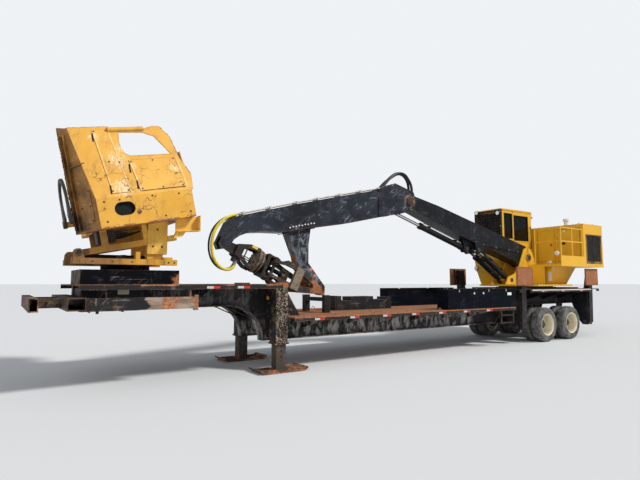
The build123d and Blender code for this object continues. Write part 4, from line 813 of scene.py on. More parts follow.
def black_finishes(tone):
    """Black paint in its states of wear."""
    grey = (0.030, 0.032, 0.037)
    brown = (0.05, 0.035, 0.025)
    matt = {"shine": 0.22}
    weathered("Trailer black", tone.steel, None, frame_scuffed, Faded=grey, Fade=0.2, Chips=0.16,
        Scuffs=0.5, Dusty=0.4, Edges=0.6, Gloss=0.42, Grime=brown, Scuff=(0.22, 0.21, 0.20), **matt)
    weathered("Box black", (0.003, 0.0045, 0.008), Faded=(0.007, 0.009, 0.014), Fade=0.3, Streaks=0.1,
        Chips=0.01, Scuffs=0.10, Dusty=0.35, Edges=0.3, Gloss=0.5, Grime=(0.012, 0.012, 0.014), shine=0.04)
    weathered("Sleeve black", tone.steel, sleeve_top, speckled, Faded=(0.035, 0.032, 0.029), Fade=0.2,
        Scuffs=0.4, Edges=0.9, Gloss=0.5, Grime=brown, **matt)
    weathered("Leg steel", (0.060, 0.047, 0.038), leg_wear, Faded=(0.11, 0.08, 0.06), Streaks=0.6,
        Scuffs=0.4, Edges=0.8, Gloss=0.5, Grime=(0.02, 0.016, 0.013), **matt)
    weathered("Bar steel", (0.016, 0.014, 0.014), bar_wear, bar_bare, Faded=(0.05, 0.038, 0.03), Fade=0.15,
        Streaks=0.4, Chips=0.2, Scuffs=0.7, Edges=0.45, Gloss=0.45, Grime=brown, **matt)
    weathered("Base black", tone.steel, base_wear, base_ends, Faded=(0.008, 0.009, 0.012), Fade=0.2,
        Streaks=0.1, Chips=0.1, Scuffs=0.55, Dusty=0.1, Gloss=0.5, Grime=(0.03, 0.03, 0.034), shine=0.05)
    weathered("Deck steel", (0.016, 0.015, 0.015), deck_wear, Faded=(0.04, 0.034, 0.03), Streaks=0.2,
        Chips=0.2, Scuffs=0.35, Edges=1.0, Gloss=0.5, Grime=brown, **matt)
    weathered("Boom black", tone.steel, Faded=(0.018, 0.020, 0.024), Streaks=0.25, Chips=0.03, Scuffs=0.3,
        Edges=0.25, Gloss=0.27, Grime=(0.035, 0.038, 0.044), shine=0.16)
    weathered("Stick black", (0.012, 0.014, 0.018), heel_wear, stick_scuffed, Faded=(0.036, 0.044, 0.056),
        Fade=0.6, Streaks=0.5, Chips=0.05, Scuffs=0.85, Edges=0.4, Gloss=0.3, Grime=(0.060, 0.068, 0.080),
        Scuff=(0.40, 0.43, 0.48), shine=0.18)
    weathered("Stabilizer black", tone.steel, pad_faces, Faded=grey, Chips=0.08, Scuffs=0.6, Edges=0.6,
        Gloss=0.36, Grime=brown, **matt)
    weathered("Grapple steel", (0.022, 0.020, 0.019), grapple_worn, ring_bare, Faded=(0.05, 0.042, 0.036),
        Fade=0.3, Streaks=0.4, Chips=0.2, Scuffs=0.7, Dusty=0.4, Edges=0.7, Gloss=0.4,
        Grime=(0.10, 0.075, 0.05), **matt)
    weathered("Tong steel", (0.035, 0.031, 0.028), grapple_worn, plate_bare, Faded=(0.07, 0.052, 0.04),
        Fade=0.3, Streaks=0.4, Scuffs=0.6, Edges=0.8, Gloss=0.45, Grime=(0.10, 0.06, 0.04), **matt)
    weathered("Knife steel", (0.05, 0.045, 0.04), Streaks=0.4, Chips=0.6, Scuffs=0.5, Edges=1.0,
        Gloss=0.45, Grime=brown)
    weathered("Guard black", (0.010, 0.010, 0.011), Faded=grey, Chips=0.05, Edges=0.2, Gloss=0.45, **matt)
    weathered("Rubber black", (0.006, 0.006, 0.006), Faded=(0.014, 0.014, 0.014), Chips=0.0, Edges=0.0,
        Gloss=0.6, **matt)


def bright_finishes(tone):
    """Yellow and cream paint, plates, bolts and pipes."""
    weathered("Delimber yellow", tone.delimber, torn_rims, bleached, Fade=0.35, Faded=(0.64, 0.285, 0.030),
        Streaks=0.45, Chips=0.36, Dusty=0.15, Edges=0.9, Gloss=0.42, Grime=(0.15, 0.07, 0.022),
        Scuffs=0.25, Scuff=(0.88, 0.74, 0.44), shine=0.35)
    weathered("Pedestal yellow", tone.delimber, None, pedestal_darker_front, Faded=(0.40, 0.185, 0.035),
        Streaks=0.9, Chips=0.4, Edges=0.8, Gloss=0.5, Grime=(0.11, 0.058, 0.022), Scuffs=0.3, shine=0.3)
    weathered("Cab yellow", tone.cab, None, screen_surround, Faded=(0.72, 0.37, 0.018), Streaks=0.2,
        Chips=0.05, Dusty=0.2, Edges=0.22, Gloss=0.3, Grime=(0.34, 0.17, 0.03), Scuffs=0.12,
        Scuff=(0.86, 0.66, 0.25))
    weathered("Rim cream", tone.rim, Faded=(0.56, 0.47, 0.33), Chips=0.15, Edges=0.6, Gloss=0.5, Dusty=0.4,
        Grime=(0.17, 0.12, 0.075))
    weathered("Cream plate", (0.56, 0.52, 0.36), Chips=0.2, Streaks=0.4, Gloss=0.4)
    weathered("White plate", (0.78, 0.76, 0.70), Chips=0.1)
    weathered("Yellow plate", (0.82, 0.58, 0.02), Chips=0.15)
    weathered("Bare bolt", (0.66, 0.64, 0.60), Faded=(0.5, 0.48, 0.45), Chips=0.25, Edges=0.3)
    weathered("Dark bolt", (0.04, 0.034, 0.03), Faded=(0.06, 0.05, 0.045), Chips=0.45, Gloss=0.45, shine=0.3)
    weathered("Pipe steel", (0.68, 0.66, 0.61), Faded=(0.36, 0.34, 0.30), Fade=0.45, Chips=0.15, Dusty=0.4)
    weathered("Rust edge", (0.16, 0.06, 0.028), Rusty=1.0, Rust=(0.17, 0.062, 0.030), Chips=0.9, Gloss=0.6)


def small_finishes():
    """Rubber, chrome, cloth, lenses and other small finishes: dark and light tone, grain, roughness."""
    for finish in (("Tyre rubber", (0.036, 0.036, 0.036), (0.19, 0.18, 0.165), 7.0, 0.85),
            ("Hose rubber", (0.008, 0.008, 0.008), (0.024, 0.023, 0.022), 40.0, 0.5),
            ("Yellow sleeve", (0.72, 0.53, 0.012), (0.86, 0.70, 0.04), 30.0, 0.45),
            ("Rod chrome", (0.62, 0.62, 0.64), (0.78, 0.78, 0.80), 60.0, 0.2, 1.0, 0.02),
            ("Fitting steel", (0.30, 0.29, 0.27), (0.50, 0.48, 0.44), 50.0, 0.4, 0.7),
            ("Cushion cloth", (0.014, 0.014, 0.016), (0.045, 0.045, 0.05), 160.0, 0.9, 0.0, 0.5),
            ("Engine grey", (0.06, 0.06, 0.058), (0.13, 0.13, 0.12), 12.0, 0.6),
            ("Core fins", (0.03, 0.03, 0.032), (0.07, 0.07, 0.07), 20.0, 0.5),
            ("Lamp lens", (0.84, 0.84, 0.82), (0.93, 0.93, 0.92), 20.0, 0.15),
            ("Amber lens", (0.75, 0.30, 0.01), (0.9, 0.40, 0.02), 30.0, 0.2),
            ("Red lens", (0.42, 0.014, 0.012), (0.58, 0.035, 0.028), 30.0, 0.3),
            ("Reflector white", (0.42, 0.39, 0.37), (0.62, 0.60, 0.57), 50.0, 0.35),
            ("Faded red", (0.50, 0.13, 0.09), (0.68, 0.24, 0.17), 22.0, 0.5)):
        grained(*finish)


class LOADER_OT_finishes(bpy.types.Operator):
    """Build the finishes and paint the solid parts"""

    bl_idname = "loader.finishes"
    bl_label = "Finishes"

    def execute(self, context):
        tone = context.scene.loader_paint
        weathering_group()
        black_finishes(tone)
        bright_finishes(tone)
        small_finishes()
        glass()
        for name, nodes in PAINTED.items():
            for node in nodes:
                mesh = NODES[node].data
                mesh.materials.clear()
                mesh.materials.append(paint(name))
        return {"FINISHED"}


def wheels_tyres(tag, frame, deep):
    """Both tyres of a dual wheel, with four grooves and notched shoulders."""
    bm = bmesh.new()
    for y in (-1.2, -0.875):
        half = [(0.287, 0.022), (0.300, 0.008), (0.330, 0.003), (0.345, 0.006), (0.352, 0.002),
            (0.395, 0.0), (0.425, 0.003), (0.430, 0.007), (0.448, 0.012), (0.462, 0.024), (0.470, 0.034),
            (0.4735, 0.042)]
        crown = [(TYRE, 0.056)]
        for middle in (0.072, 0.108, 0.147, 0.183):
            crown += [(TYRE, middle - 0.006), (TYRE - deep, middle - 0.0035),
                (TYRE - deep, middle + 0.0035), (TYRE, middle + 0.006)]
        crown.append((TYRE, 0.199))
        profile = half + crown + [(r, 0.255 - a) for r, a in reversed(half)]
        lathe(bm, [(r, y + a) for r, a in profile], (0, 0, 0), "y", 160, frame, 0.006)
    made = rounded(f"tyre_pair_{tag}", bm, "Tyre rubber", f"wheel_{tag}")
    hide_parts(f"tyres_{tag}")


def wheels_rims(tag, frame):
    """Both rims with pierced discs, the hub, its cap and the drum."""
    bm = bmesh.new()
    for start, way in ((-1.2, 1), (-0.62, -1)):
        shell = [(0.300, 0.0), (0.3005, 0.006), (0.296, 0.013), (0.2865, 0.016), (0.2865, 0.246),
            (0.274, 0.250), (0.270, 0.236), (0.268, 0.08), (0.262, 0.05), (0.272, 0.016), (0.289, 0.010),
            (0.291, 0.0)]
        lathe(bm, [(r, start + way * a) for r, a in shell], (0, 0, 0), "y", 96, frame)
        wheels_disc(bm, start, way, frame)
    hub = [(0.13, -0.71), (0.13, -0.945), (0.124, -0.985), (0.112, -1.0), (0.112, -1.036), (0.106, -1.041),
        (0.083, -1.041), (0.080, -1.066), (0.068, -1.078), (0.03, -1.080)]
    dome(bm, [(0.03, -0.71), *hub[:5]], (0, 0, 0), "y", 64, frame)
    cap = bmesh.new()
    dome(cap, [(0.1, -1.03), *hub[4:]], (0, 0, 0), "y", 64, frame)
    rounded(f"hub_cap_{tag}", cap, "Dark bolt", f"wheel_{tag}")
    dome(bm, [(0.13, -0.66), (0.2, -0.66), (0.2, -0.70), (0.19, -0.71), (0.19, -0.84), (0.13, -0.85)],
        (0, 0, 0), "y", 64, frame)
    rod(bm, (0.1, -0.93, 0.245), (0.1, -1.01, 0.25), 0.006, 8, frame)
    made = rounded(f"rim_pair_{tag}", bm, "Rim cream", f"wheel_{tag}")
    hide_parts(f"rims_{tag}")


def wheels_disc(bm, start, way, frame):
    """A dished disc with ten hand holes."""
    steps = 120
    # outer face from rim to hub, then the same points on the inner face: radius, depth
    outer = [(0.270, 0.238), (0.252, 0.232), (0.226, 0.240), (0.196, 0.252), (0.168, 0.262), (0.128, 0.266)]
    inner = [(r, a + 0.012) for r, a in outer]
    rings = [[[bm.verts.new(frame @ Vector((r * math.cos(t), start + way * a, r * math.sin(t))))
        for t in (2 * math.pi * i / steps for i in range(steps))] for r, a in face]
        for face in (outer, inner)]
    last = len(outer) - 1

    def pierced(i, j):
        """Whether a field of the disc is part of a hand hole."""
        return j == 2 and i % 12 in (3, 4, 5, 6, 7, 8)

    for i in range(steps):
        k = (i + 1) % steps
        for j in range(last):
            if pierced(i, j):
                for (a, b), (c, d), beside in (((i, j), (i, j + 1), (i - 1, j)),
                        ((k, j), (k, j + 1), (i + 1, j)), ((i, j), (k, j), (i, j - 1)),
                        ((i, j + 1), (k, j + 1), (i, j + 1))):
                    if not pierced(beside[0] % steps, beside[1]):
                        bm.faces.new((rings[0][b][a], rings[0][d][c], rings[1][d][c], rings[1][b][a]))
                continue
            for face in rings:
                bm.faces.new((face[j][i], face[j][k], face[j + 1][k], face[j + 1][i]))
        for j in (0, last):
            bm.faces.new((rings[0][j][i], rings[0][j][k], rings[1][j][k], rings[1][j][i]))


class LOADER_OT_wheels(bpy.types.Operator):
    """Grooved tyres and dished rims with hand holes, hubs and nuts"""

    bl_idname = "loader.wheels"
    bl_label = "Wheels"

    def execute(self, context):
        sizes = context.scene.loader_sizes
        for axle, x in (("front", 8.47), ("rear", 9.70)):
            for side, turn in (("near", 0), ("far", math.pi)):
                tag = f"{axle}_{side}"
                frame = HERE @ Matrix.Translation((x, 0, TYRE)) @ Matrix.Rotation(turn, 4, "Z")
                wheels_tyres(tag, frame, sizes.tread)
                wheels_rims(tag, frame)
                bolt_heads(f"wheel_nuts_{tag}", around((0, -0.936, 0), 0.153, 10, (0, -1, 0)),
                    f"wheel_{tag}", "Dark bolt", sizes.nut, 0.03, frame)
                bolt_heads(f"hub_bolts_{tag}", around((0, -1.041, 0), 0.098, 8, (0, -1, 0)),
                    f"wheel_{tag}", "Dark bolt", 0.009, 0.012, frame)
        return {"FINISHED"}


# panes: name, frame, distance of the wall, across and up limits, body
PANES = [("near_front", NEAR, -0.292, (8.76, 9.17, 3.03, 3.82), "upper"),
    ("near_rear", NEAR, -0.292, (9.26, 10.01, 2.98, 3.78), "upper"),
    ("front", AHEAD, -8.67, (-1.22, -0.362, 2.62, 3.84), "upper"),
    ("rear", BEHIND, 10.20, (0.442, 1.14, 3.0, 3.77), "upper"),
    ("far_front", FAR, 1.29, (-9.08, -8.74, 2.9, 3.78), "upper"),
    ("door", FAR, 1.29, (-9.89, -9.24, 2.95, 3.74), "cab_door")]


def cab_guard(wire):
    """Woven wire in front of the windscreen."""
    bm = bmesh.new()
    rod(bm, (8.632, 0.42, 2.60), (8.632, 0.42, 3.89), wire, 8)
    row("guard_uprights", bm, 10, (0, 0.083, 0), "Guard black", "upper")
    bm = bmesh.new()
    rod(bm, (8.632, 0.335, 2.69), (8.632, 1.247, 2.69), wire, 8)
    row("guard_crosswires", bm, 14, (0, 0, 0.0855), "Guard black", "upper")
    bolt_heads("guard_bolts", [((8.609, y, z), (-1, 0, 0)) for y in (0.317, 1.265)
        for z in (2.62, 3.0, 3.4, 3.86)], "upper", "Bare bolt", 0.012)


def cab_lamps():
    """Round work lamps on the guard, the cab and the tank."""
    body, lens, arm = bmesh.new(), bmesh.new(), bmesh.new()
    for x, y, z, way, axis in ((8.60, 1.187, 3.905, -1, "x"), (8.60, 0.393, 3.816, -1, "x"),
            (10.28, 0.33, 3.84, -1, "y"), (10.262, 1.15, 3.84, 1, "x"), (8.15, 0.902, 2.092, -1, "x")):
        dome(body, [(0.02, -0.045 * way), (0.046, -0.03 * way), (0.066, 0.0), (0.066, 0.026 * way)],
            (x, y, z), axis, 28)
        dome(lens, [(0.060, 0.02 * way), (0.060, 0.029 * way), (0.040, 0.038 * way)], (x, y, z), axis, 28)
        rod(arm, (x, y, z), (x, y, z - 0.085), 0.008, 8)
        block(arm, (x - 0.03, y - 0.03, z - 0.093), (x + 0.03, y + 0.03, z - 0.083))
    rounded("lamp_housings", body, "Guard black", "upper")
    rounded("lamp_lenses", lens, "Lamp lens", "upper")
    finish_piece("lamp_brackets", arm, "Guard black", "upper")


def cab_trim():
    """Gutter, wiper, handles, door seals and bolts."""
    boxes("cab_gutter", [((8.66, 0.276, 3.905), (10.21, 0.292, 3.925)),
        ((8.66, 1.290, 3.905), (10.21, 1.304, 3.925)), ((10.20, 0.30, 3.905), (10.214, 1.28, 3.925))],
        "Cab yellow", "upper")
    bm = bmesh.new()
    for y in (0.28,):
        rod(bm, (10.10, y - 0.03, 2.75), (10.10, y - 0.03, 3.45), 0.013)
        for z in (2.76, 3.44):
            rod(bm, (10.10, y - 0.03, z), (10.10, y + 0.02, z), 0.012)
    rod(bm, (9.06, 1.311, 2.5), (9.06, 1.311, 3.3), 0.013)
    for z in (2.51, 3.29):
        rod(bm, (9.06, 1.311, z), (9.06, 1.28, z), 0.012)
    rounded("cab_handles", bm, "Guard black", "upper")
    bm = bmesh.new()
    rod(bm, (8.655, 0.75, 2.66), (8.655, 0.98, 3.22), 0.006, 8)
    block(bm, (8.648, 0.955, 2.98), (8.662, 0.965, 3.52))
    dome(bm, [(0.02, 0.0), (0.02, -0.02), (0.012, -0.028)], (8.67, 0.75, 2.66), "x", 16)
    rounded("wiper", bm, "Guard black", "upper")
    bolt_heads("cab_foot_bolts", [((x, 0.2905, 2.23), (0, -1, 0)) for x in (8.8, 9.1, 9.5, 9.8, 10.1)],
        "upper", "Dark bolt", 0.013)
    boxes("cab_seams", [((9.208, 0.2895, 2.2), (9.214, 0.293, 3.92)),
        ((8.68, 0.2895, 2.92), (10.19, 0.2925, 2.926))], "Rubber black", "upper", bevel=0.0)


class LOADER_OT_cab(bpy.types.Operator):
    """Window panes and gaskets, guard mesh, lamps, wiper and handles of the cab"""

    bl_idname = "loader.cab"
    bl_label = "Cab"

    def execute(self, context):
        for name, frame, wall, (x0, x1, y0, y1), body in PANES:
            bm = bmesh.new()
            block(bm, (x0 - 0.01, y0 - 0.01, wall - 0.026), (x1 + 0.01, y1 + 0.01, wall - 0.020), frame)
            finish_piece(f"pane_{name}", bm, "Window glass", body)
            bm = bmesh.new()
            surround(bm, x0 + 0.016, x1 - 0.016, y0 + 0.016, y1 - 0.016, 0.024, wall - 0.032, wall + 0.004,
                frame)
            finish_piece(f"gasket_{name}", bm, "Rubber black", body, bevel=0.002)
        cab_guard(context.scene.loader_sizes.mesh)
        cab_lamps()
        cab_trim()
        return {"FINISHED"}


def seat_pad(name, low, high, frame, seams):
    """A cushion: blown up as cloth, then sewn in along its seams."""
    bm = bmesh.new()
    block(bm, low, high, frame)
    bmesh.ops.recalc_face_normals(bm, faces=bm.faces)
    made = linked(name, bm, "Cushion cloth")
    grid = made.modifiers.new("Grid", "REMESH")
    grid.mode, grid.voxel_size = "VOXEL", 0.012
    bake(made)
    rest = [v.co.copy() for v in made.data.vertices]
    seat_blow(made)
    back = frame.inverted()
    most, seam_width, seam_depth = 0.016, 0.009, 0.012
    # the seams are sewn into the seat's upper face or the back's front face
    thin, way = (2, 1) if high[2] - low[2] < 0.1 else (0, -1)
    for vertex, old in zip(made.data.vertices, rest):
        move = vertex.co - old
        if move.length > most:
            vertex.co = old + move.normalized() * most
        spot = back @ vertex.co
        for axis, place in seams:
            gap = (getattr(spot, axis) - place) / seam_width
            if (back @ old)[thin] * way > 0:
                spot[thin] -= seam_depth * math.exp(-gap * gap) * way
        vertex.co = frame @ spot
    soft = made.modifiers.new("Soft", "SUBSURF")
    soft.levels = soft.render_levels = 1
    bake(made)
    made.data.shade_smooth()
    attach(made, "upper")
    return made


def seat_blow(made):
    """Swells a cushion under pressure and keeps its last shape."""
    scene = bpy.context.scene
    cloth = made.modifiers.new("Swell", "CLOTH")
    cloth.settings.use_pressure = True
    cloth.settings.uniform_pressure_force = 4.0
    cloth.settings.effector_weights.gravity = 0.0
    cloth.point_cache.frame_start, cloth.point_cache.frame_end = 1, 20
    for step in range(1, 21):
        scene.frame_set(step)
    bake(made)
    scene.frame_set(1)


class LOADER_OT_seat(bpy.types.Operator):
    """Operator's seat with swollen cushions, arm rests and levers"""

    bl_idname = "loader.seat"
    bl_label = "Seat"

    def execute(self, context):
        level = Matrix.Translation(at(9.45, 0.791, 2.70))
        back = Matrix.Translation(at(9.705, 0.791, 2.79)) @ Matrix.Rotation(math.radians(9), 4, "Y")
        cushion = seat_pad("seat_cushion", (-0.235, -0.235, -0.042), (0.235, 0.235, 0.042), level,
            [("y", -0.09), ("y", 0.09)])
        rest = seat_pad("seat_back", (-0.042, -0.222, 0.0), (0.042, 0.222, 0.59), back,
            [("z", 0.2), ("z", 0.4)])
        bm = bmesh.new()
        dome(bm, [(0.17, 2.225), (0.17, 2.25), (0.09, 2.27), (0.09, 2.60), (0.15, 2.62), (0.15, 2.645)],
            (9.45, 0.791, 0), "z", 32)
        block(bm, (9.23, 0.57, 2.640), (9.67, 1.01, 2.656))
        base = finish_piece("seat_base", bm, "Guard black", "upper", bevel=0.004)
        for piece in (cushion, rest, base):
            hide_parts("cab_seat")
        arms, levers = bmesh.new(), bmesh.new()
        for y in (0.46, 1.12):
            block(arms, (9.28, y - 0.045, 2.82), (9.70, y + 0.045, 2.90))
            block(arms, (9.42, y - 0.02, 2.22), (9.50, y + 0.02, 2.83))
            rod(levers, (9.33, y, 2.89), (9.315, y, 3.0), 0.007)
            dome(levers, [(0.012, 2.99), (0.022, 3.01), (0.024, 3.06), (0.012, 3.085)], (9.315, y, 0), "z",
                16)
        for y in (0.66, 0.92):
            block(levers, (8.80, y - 0.05, 2.24), (8.98, y + 0.05, 2.256))
        finish_piece("seat_arms", arms, "Rubber black", "upper", bevel=0.012)
        rounded("seat_levers", levers, "Hose rubber", "upper")
        return {"FINISHED"}


def housing_screens():
    """Fine wire and finned cores in both side openings, and louvres."""
    for side, y in (("near", -1.252), ("far", 1.252)):
        bm = bmesh.new()
        rod(bm, (10.66, y, 2.285), (10.66, y, 3.095), 0.0022, 5)
        row(f"screen_uprights_{side}", bm, 32, (0.0248, 0, 0), "Guard black", "upper")
        bm = bmesh.new()
        rod(bm, (10.635, y, 2.305), (11.445, y, 2.305), 0.0022, 5)
        row(f"screen_crosswires_{side}", bm, 32, (0, 0, 0.0248), "Guard black", "upper")
        bm = bmesh.new()
        flat = y * 0.94
        block(bm, (10.70, flat - 0.02, 2.34), (10.7035, flat + 0.02, 3.05))
        row(f"core_fins_{side}", bm, 62, (0.0112, 0, 0), "Core fins", "upper")
        boxes(f"core_{side}", [((10.68, flat - 0.035, 2.32), (11.41, flat - 0.021, 3.07)),
            ((10.68, flat - 0.03, 2.32), (10.70, flat + 0.03, 3.07)),
            ((11.39, flat - 0.03, 2.32), (11.41, flat + 0.03, 3.07)),
            ((10.68, flat - 0.03, 3.05), (11.41, flat + 0.03, 3.09)),
            ((10.68, flat - 0.03, 2.30), (11.41, flat + 0.03, 2.34))] if side == "near" else [((10.68,
            flat + 0.021, 2.32), (11.41, flat + 0.035, 3.07)),
            ((10.68, flat - 0.03, 3.05), (11.41, flat + 0.03, 3.09)),
            ((10.68, flat - 0.03, 2.30), (11.41, flat + 0.03, 2.34))], "Core fins", "upper")
        frame, wall = (NEAR, 1.2595) if side == "near" else (FAR, 1.2595)
        low, high = (10.64, 11.44) if side == "near" else (-11.44, -10.64)
        bm = bmesh.new()
        surround(bm, low, high, 2.29, 3.09, 0.032, wall - 0.006, wall + 0.0003, frame)
        finish_piece(f"screen_rim_{side}", bm, "Cab yellow", "upper", bevel=0.002)
        bolt_heads(f"screen_screws_{side}", [((x, z, wall - 0.0046), (0, 0, 1))
            for x in (low - 0.016, (low + high) / 2, high + 0.016) for z in (2.274, 3.106)], "upper",
            "Dark bolt", 0.007, 0.005, frame)
        bm = bmesh.new()
        x0 = 10.60 if side == "near" else -10.76
        prism(bm, [(x0, 3.225), (x0 + 0.16, 3.225), (x0 + 0.16, 3.236), (x0, 3.232)], wall - 0.002,
            wall + 0.0004, frame)
        row(f"louvres_{side}", bm, 6, (0, 0.021, 0), "Dark bolt", "upper", frame)


def housing_panels():
    """Seams, door rims and latches on the housing's faces."""
    seams = bmesh.new()
    surround(seams, 0.45, 1.15, 2.30, 3.32, 0.006, -10.4495, -10.4485, AHEAD)
    for y in (-0.36, 0.235, 1.16):
        block(seams, (-y - 0.003, 2.20, -10.4495), (-y + 0.003, 3.41, -10.448), AHEAD)
    for x0, x1 in ((-1.18, -0.04), (0.04, 1.18)):
        surround(seams, x0, x1, 2.26, 3.34, 0.006, 11.569, 11.572, BEHIND)
    finish_piece("housing_seams", seams, "Rubber black", "upper")
    rims = bmesh.new()
    surround(rims, 0.47, 1.13, 2.33, 3.29, 0.014, -10.452, -10.438, AHEAD)
    finish_piece("door_rim", rims, "Cab yellow", "housing_door", bevel=0.004)
    rims = bmesh.new()
    surround(rims, -0.19, 0.32, 2.345, 3.305, 0.014, -10.440, -10.428, AHEAD)
    for x0, x1 in ((-1.16, -0.06), (0.06, 1.16)):
        surround(rims, x0, x1, 2.28, 3.32, 0.014, 11.568, 11.578, BEHIND)
    block(rims, (10.44, -1.2598, 3.405), (11.578, -1.25, 3.438))
    block(rims, (10.44, 1.25, 3.405), (11.578, 1.2598, 3.438))
    block(rims, (10.44, -1.2598, 3.42), (10.458, 1.2598, 3.438))
    block(rims, (11.56, -1.2598, 3.42), (11.58, 1.2598, 3.438))
    block(rims, (10.44, -1.2598, 2.18), (10.47, -1.24, 3.43))
    block(rims, (11.545, -1.2598, 2.18), (11.578, -1.24, 3.43))
    finish_piece("housing_rims", rims, "Cab yellow", "upper")
    latches = bmesh.new()
    for y in (-0.09, 0.09):
        for z in (2.5, 3.1):
            block(latches, (y - 0.022, z - 0.05, 11.572), (y + 0.022, z + 0.05, 11.582), BEHIND)
            rod(latches, (y, z - 0.03, 11.592), (y, z + 0.03, 11.592), 0.007, 8, BEHIND)
            for dz in (-0.03, 0.03):
                rod(latches, (y, z + dz, 11.578), (y, z + dz, 11.592), 0.006, 8, BEHIND)
    for y in (-1.2, 1.2):
        for z in (2.45, 2.8, 3.15):
            rod(latches, (y, z - 0.045, 11.576), (y, z + 0.045, 11.576), 0.011, 10, BEHIND)
    rounded("housing_latches", latches, "Guard black", "upper")
    bm = bmesh.new()
    dome(bm, [(0.050, 3.655), (0.094, 3.668), (0.096, 3.700), (0.082, 3.724), (0.045, 3.738),
        (0.012, 3.741)], (11.25, -0.3, 0), "z", 40)
    rounded("exhaust_cap", bm, "White plate", "upper")
    bm = bmesh.new()
    dome(bm, [(0.064, 3.50), (0.066, 3.50), (0.066, 3.655), (0.05, 3.656)], (11.25, -0.3, 0), "z", 40)
    rounded("exhaust_sleeve", bm, "White plate", "upper")
    bm = bmesh.new()
    dome(bm, [(0.10, 3.429), (0.10, 3.438), (0.066, 3.442), (0.064, 3.50), (0.063, 3.50)],
        (11.25, -0.3, 0), "z", 40)
    rounded("exhaust_collar", bm, "Dark bolt", "upper")
    bolt_heads("roof_bolts", [((x, y, 3.4305), (0, 0, 1)) for x in (10.52, 10.86, 11.2, 11.5)
        for y in (-1.2, -0.6, 0.6, 1.2)], "upper", "Dark bolt", 0.011, 0.008)
    bm = bmesh.new()
    for x, y in ((10.62, -1.05), (10.62, 1.05), (11.42, -1.05), (11.42, 1.05)):
        for t in range(8):
            a, b = math.pi * t / 8, math.pi * (t + 1) / 8
            rod(bm, (x, y + 0.045 * math.cos(a), 3.43 + 0.06 * math.sin(a)),
                (x, y + 0.045 * math.cos(b), 3.43 + 0.06 * math.sin(b)), 0.010, 8)
    rounded("lifting_eyes", bm, "Cab yellow", "upper")


def housing_small():
    """Blank plates, the stop button, the door pull and rear lamps."""
    bm = bmesh.new()
    block(bm, (0.617, 3.23, -10.449), (0.693, 3.30, -10.446), AHEAD)
    finish_piece("door_plate", bm, "White plate", "housing_door", bevel=0.001)
    boxes("housing_plates", [((0.05, 2.26, -10.449), (0.16, 2.35, -10.447)),
        ((0.72, 2.22, -9.459), (0.80, 2.30, -9.458))], "White plate", "upper", AHEAD, 0.0)
    boxes("body_plate_top", [((0.68, 1.975, -9.449), (0.79, 2.11, -9.446))], "Yellow plate", "upper",
        AHEAD, 0.0)
    boxes("body_plate", [((0.68, 1.69, -9.449), (0.79, 1.972, -9.446))], "White plate", "upper", AHEAD, 0.0)
    bm = bmesh.new()
    dome(bm, [(0.036, 10.449), (0.036, 10.440), (0.02, 10.437), (0.02, 10.428), (0.032, 10.424),
        (0.032, 10.414), (0.024, 10.408)], (0, -0.233, 2.848), "x", 24)
    rounded("stop_button", bm, "Red lens", "upper")
    bm = bmesh.new()
    block(bm, (0.585, 2.835, -10.449), (0.69, 2.905, -10.440), AHEAD)
    block(bm, (0.60, 2.852, -10.441), (0.675, 2.888, -10.425), AHEAD)
    finish_piece("door_pull", bm, "Rubber black", "housing_door", bevel=0.004)
    bm = bmesh.new()
    for y in (-1.0, 1.0):
        dome(bm, [(0.055, 11.565), (0.055, 11.583), (0.045, 11.592)], (0, y, 2.235), "x", 24)
    rounded("housing_lamps", bm, "Red lens", "upper")
    lamp = bmesh.new()
    rod(lamp, (9.20, -1.19, 2.50), (9.12, -1.19, 2.50), 0.012)
    dome(lamp, [(0.02, 9.12), (0.062, 9.10), (0.066, 9.07), (0.05, 9.05)], (0, -1.19, 2.493), "x", 28)
    rounded("walk_lamp_housing", lamp, "White plate", "upper")


class LOADER_OT_housing(bpy.types.Operator):
    """Screens, louvres, latches, panels and the exhaust cap of the engine housing"""

    bl_idname = "loader.housing"
    bl_label = "Engine housing"

    def execute(self, context):
        housing_screens()
        housing_panels()
        housing_small()
        return {"FINISHED"}


def upper_treads():
    """Raised tread bars on the catwalk."""
    bm = bmesh.new()
    block(bm, (9.22, -1.20, 2.180), (9.226, -0.30, 2.186))
    row("catwalk_treads", bm, 20, (0.06, 0, 0), "Cab yellow", "upper")
    bm = bmesh.new()
    block(bm, (9.20, -1.19, 2.180), (10.43, -1.184, 2.185))
    row("catwalk_long_treads", bm, 15, (0, 0.06, 0), "Cab yellow", "upper")


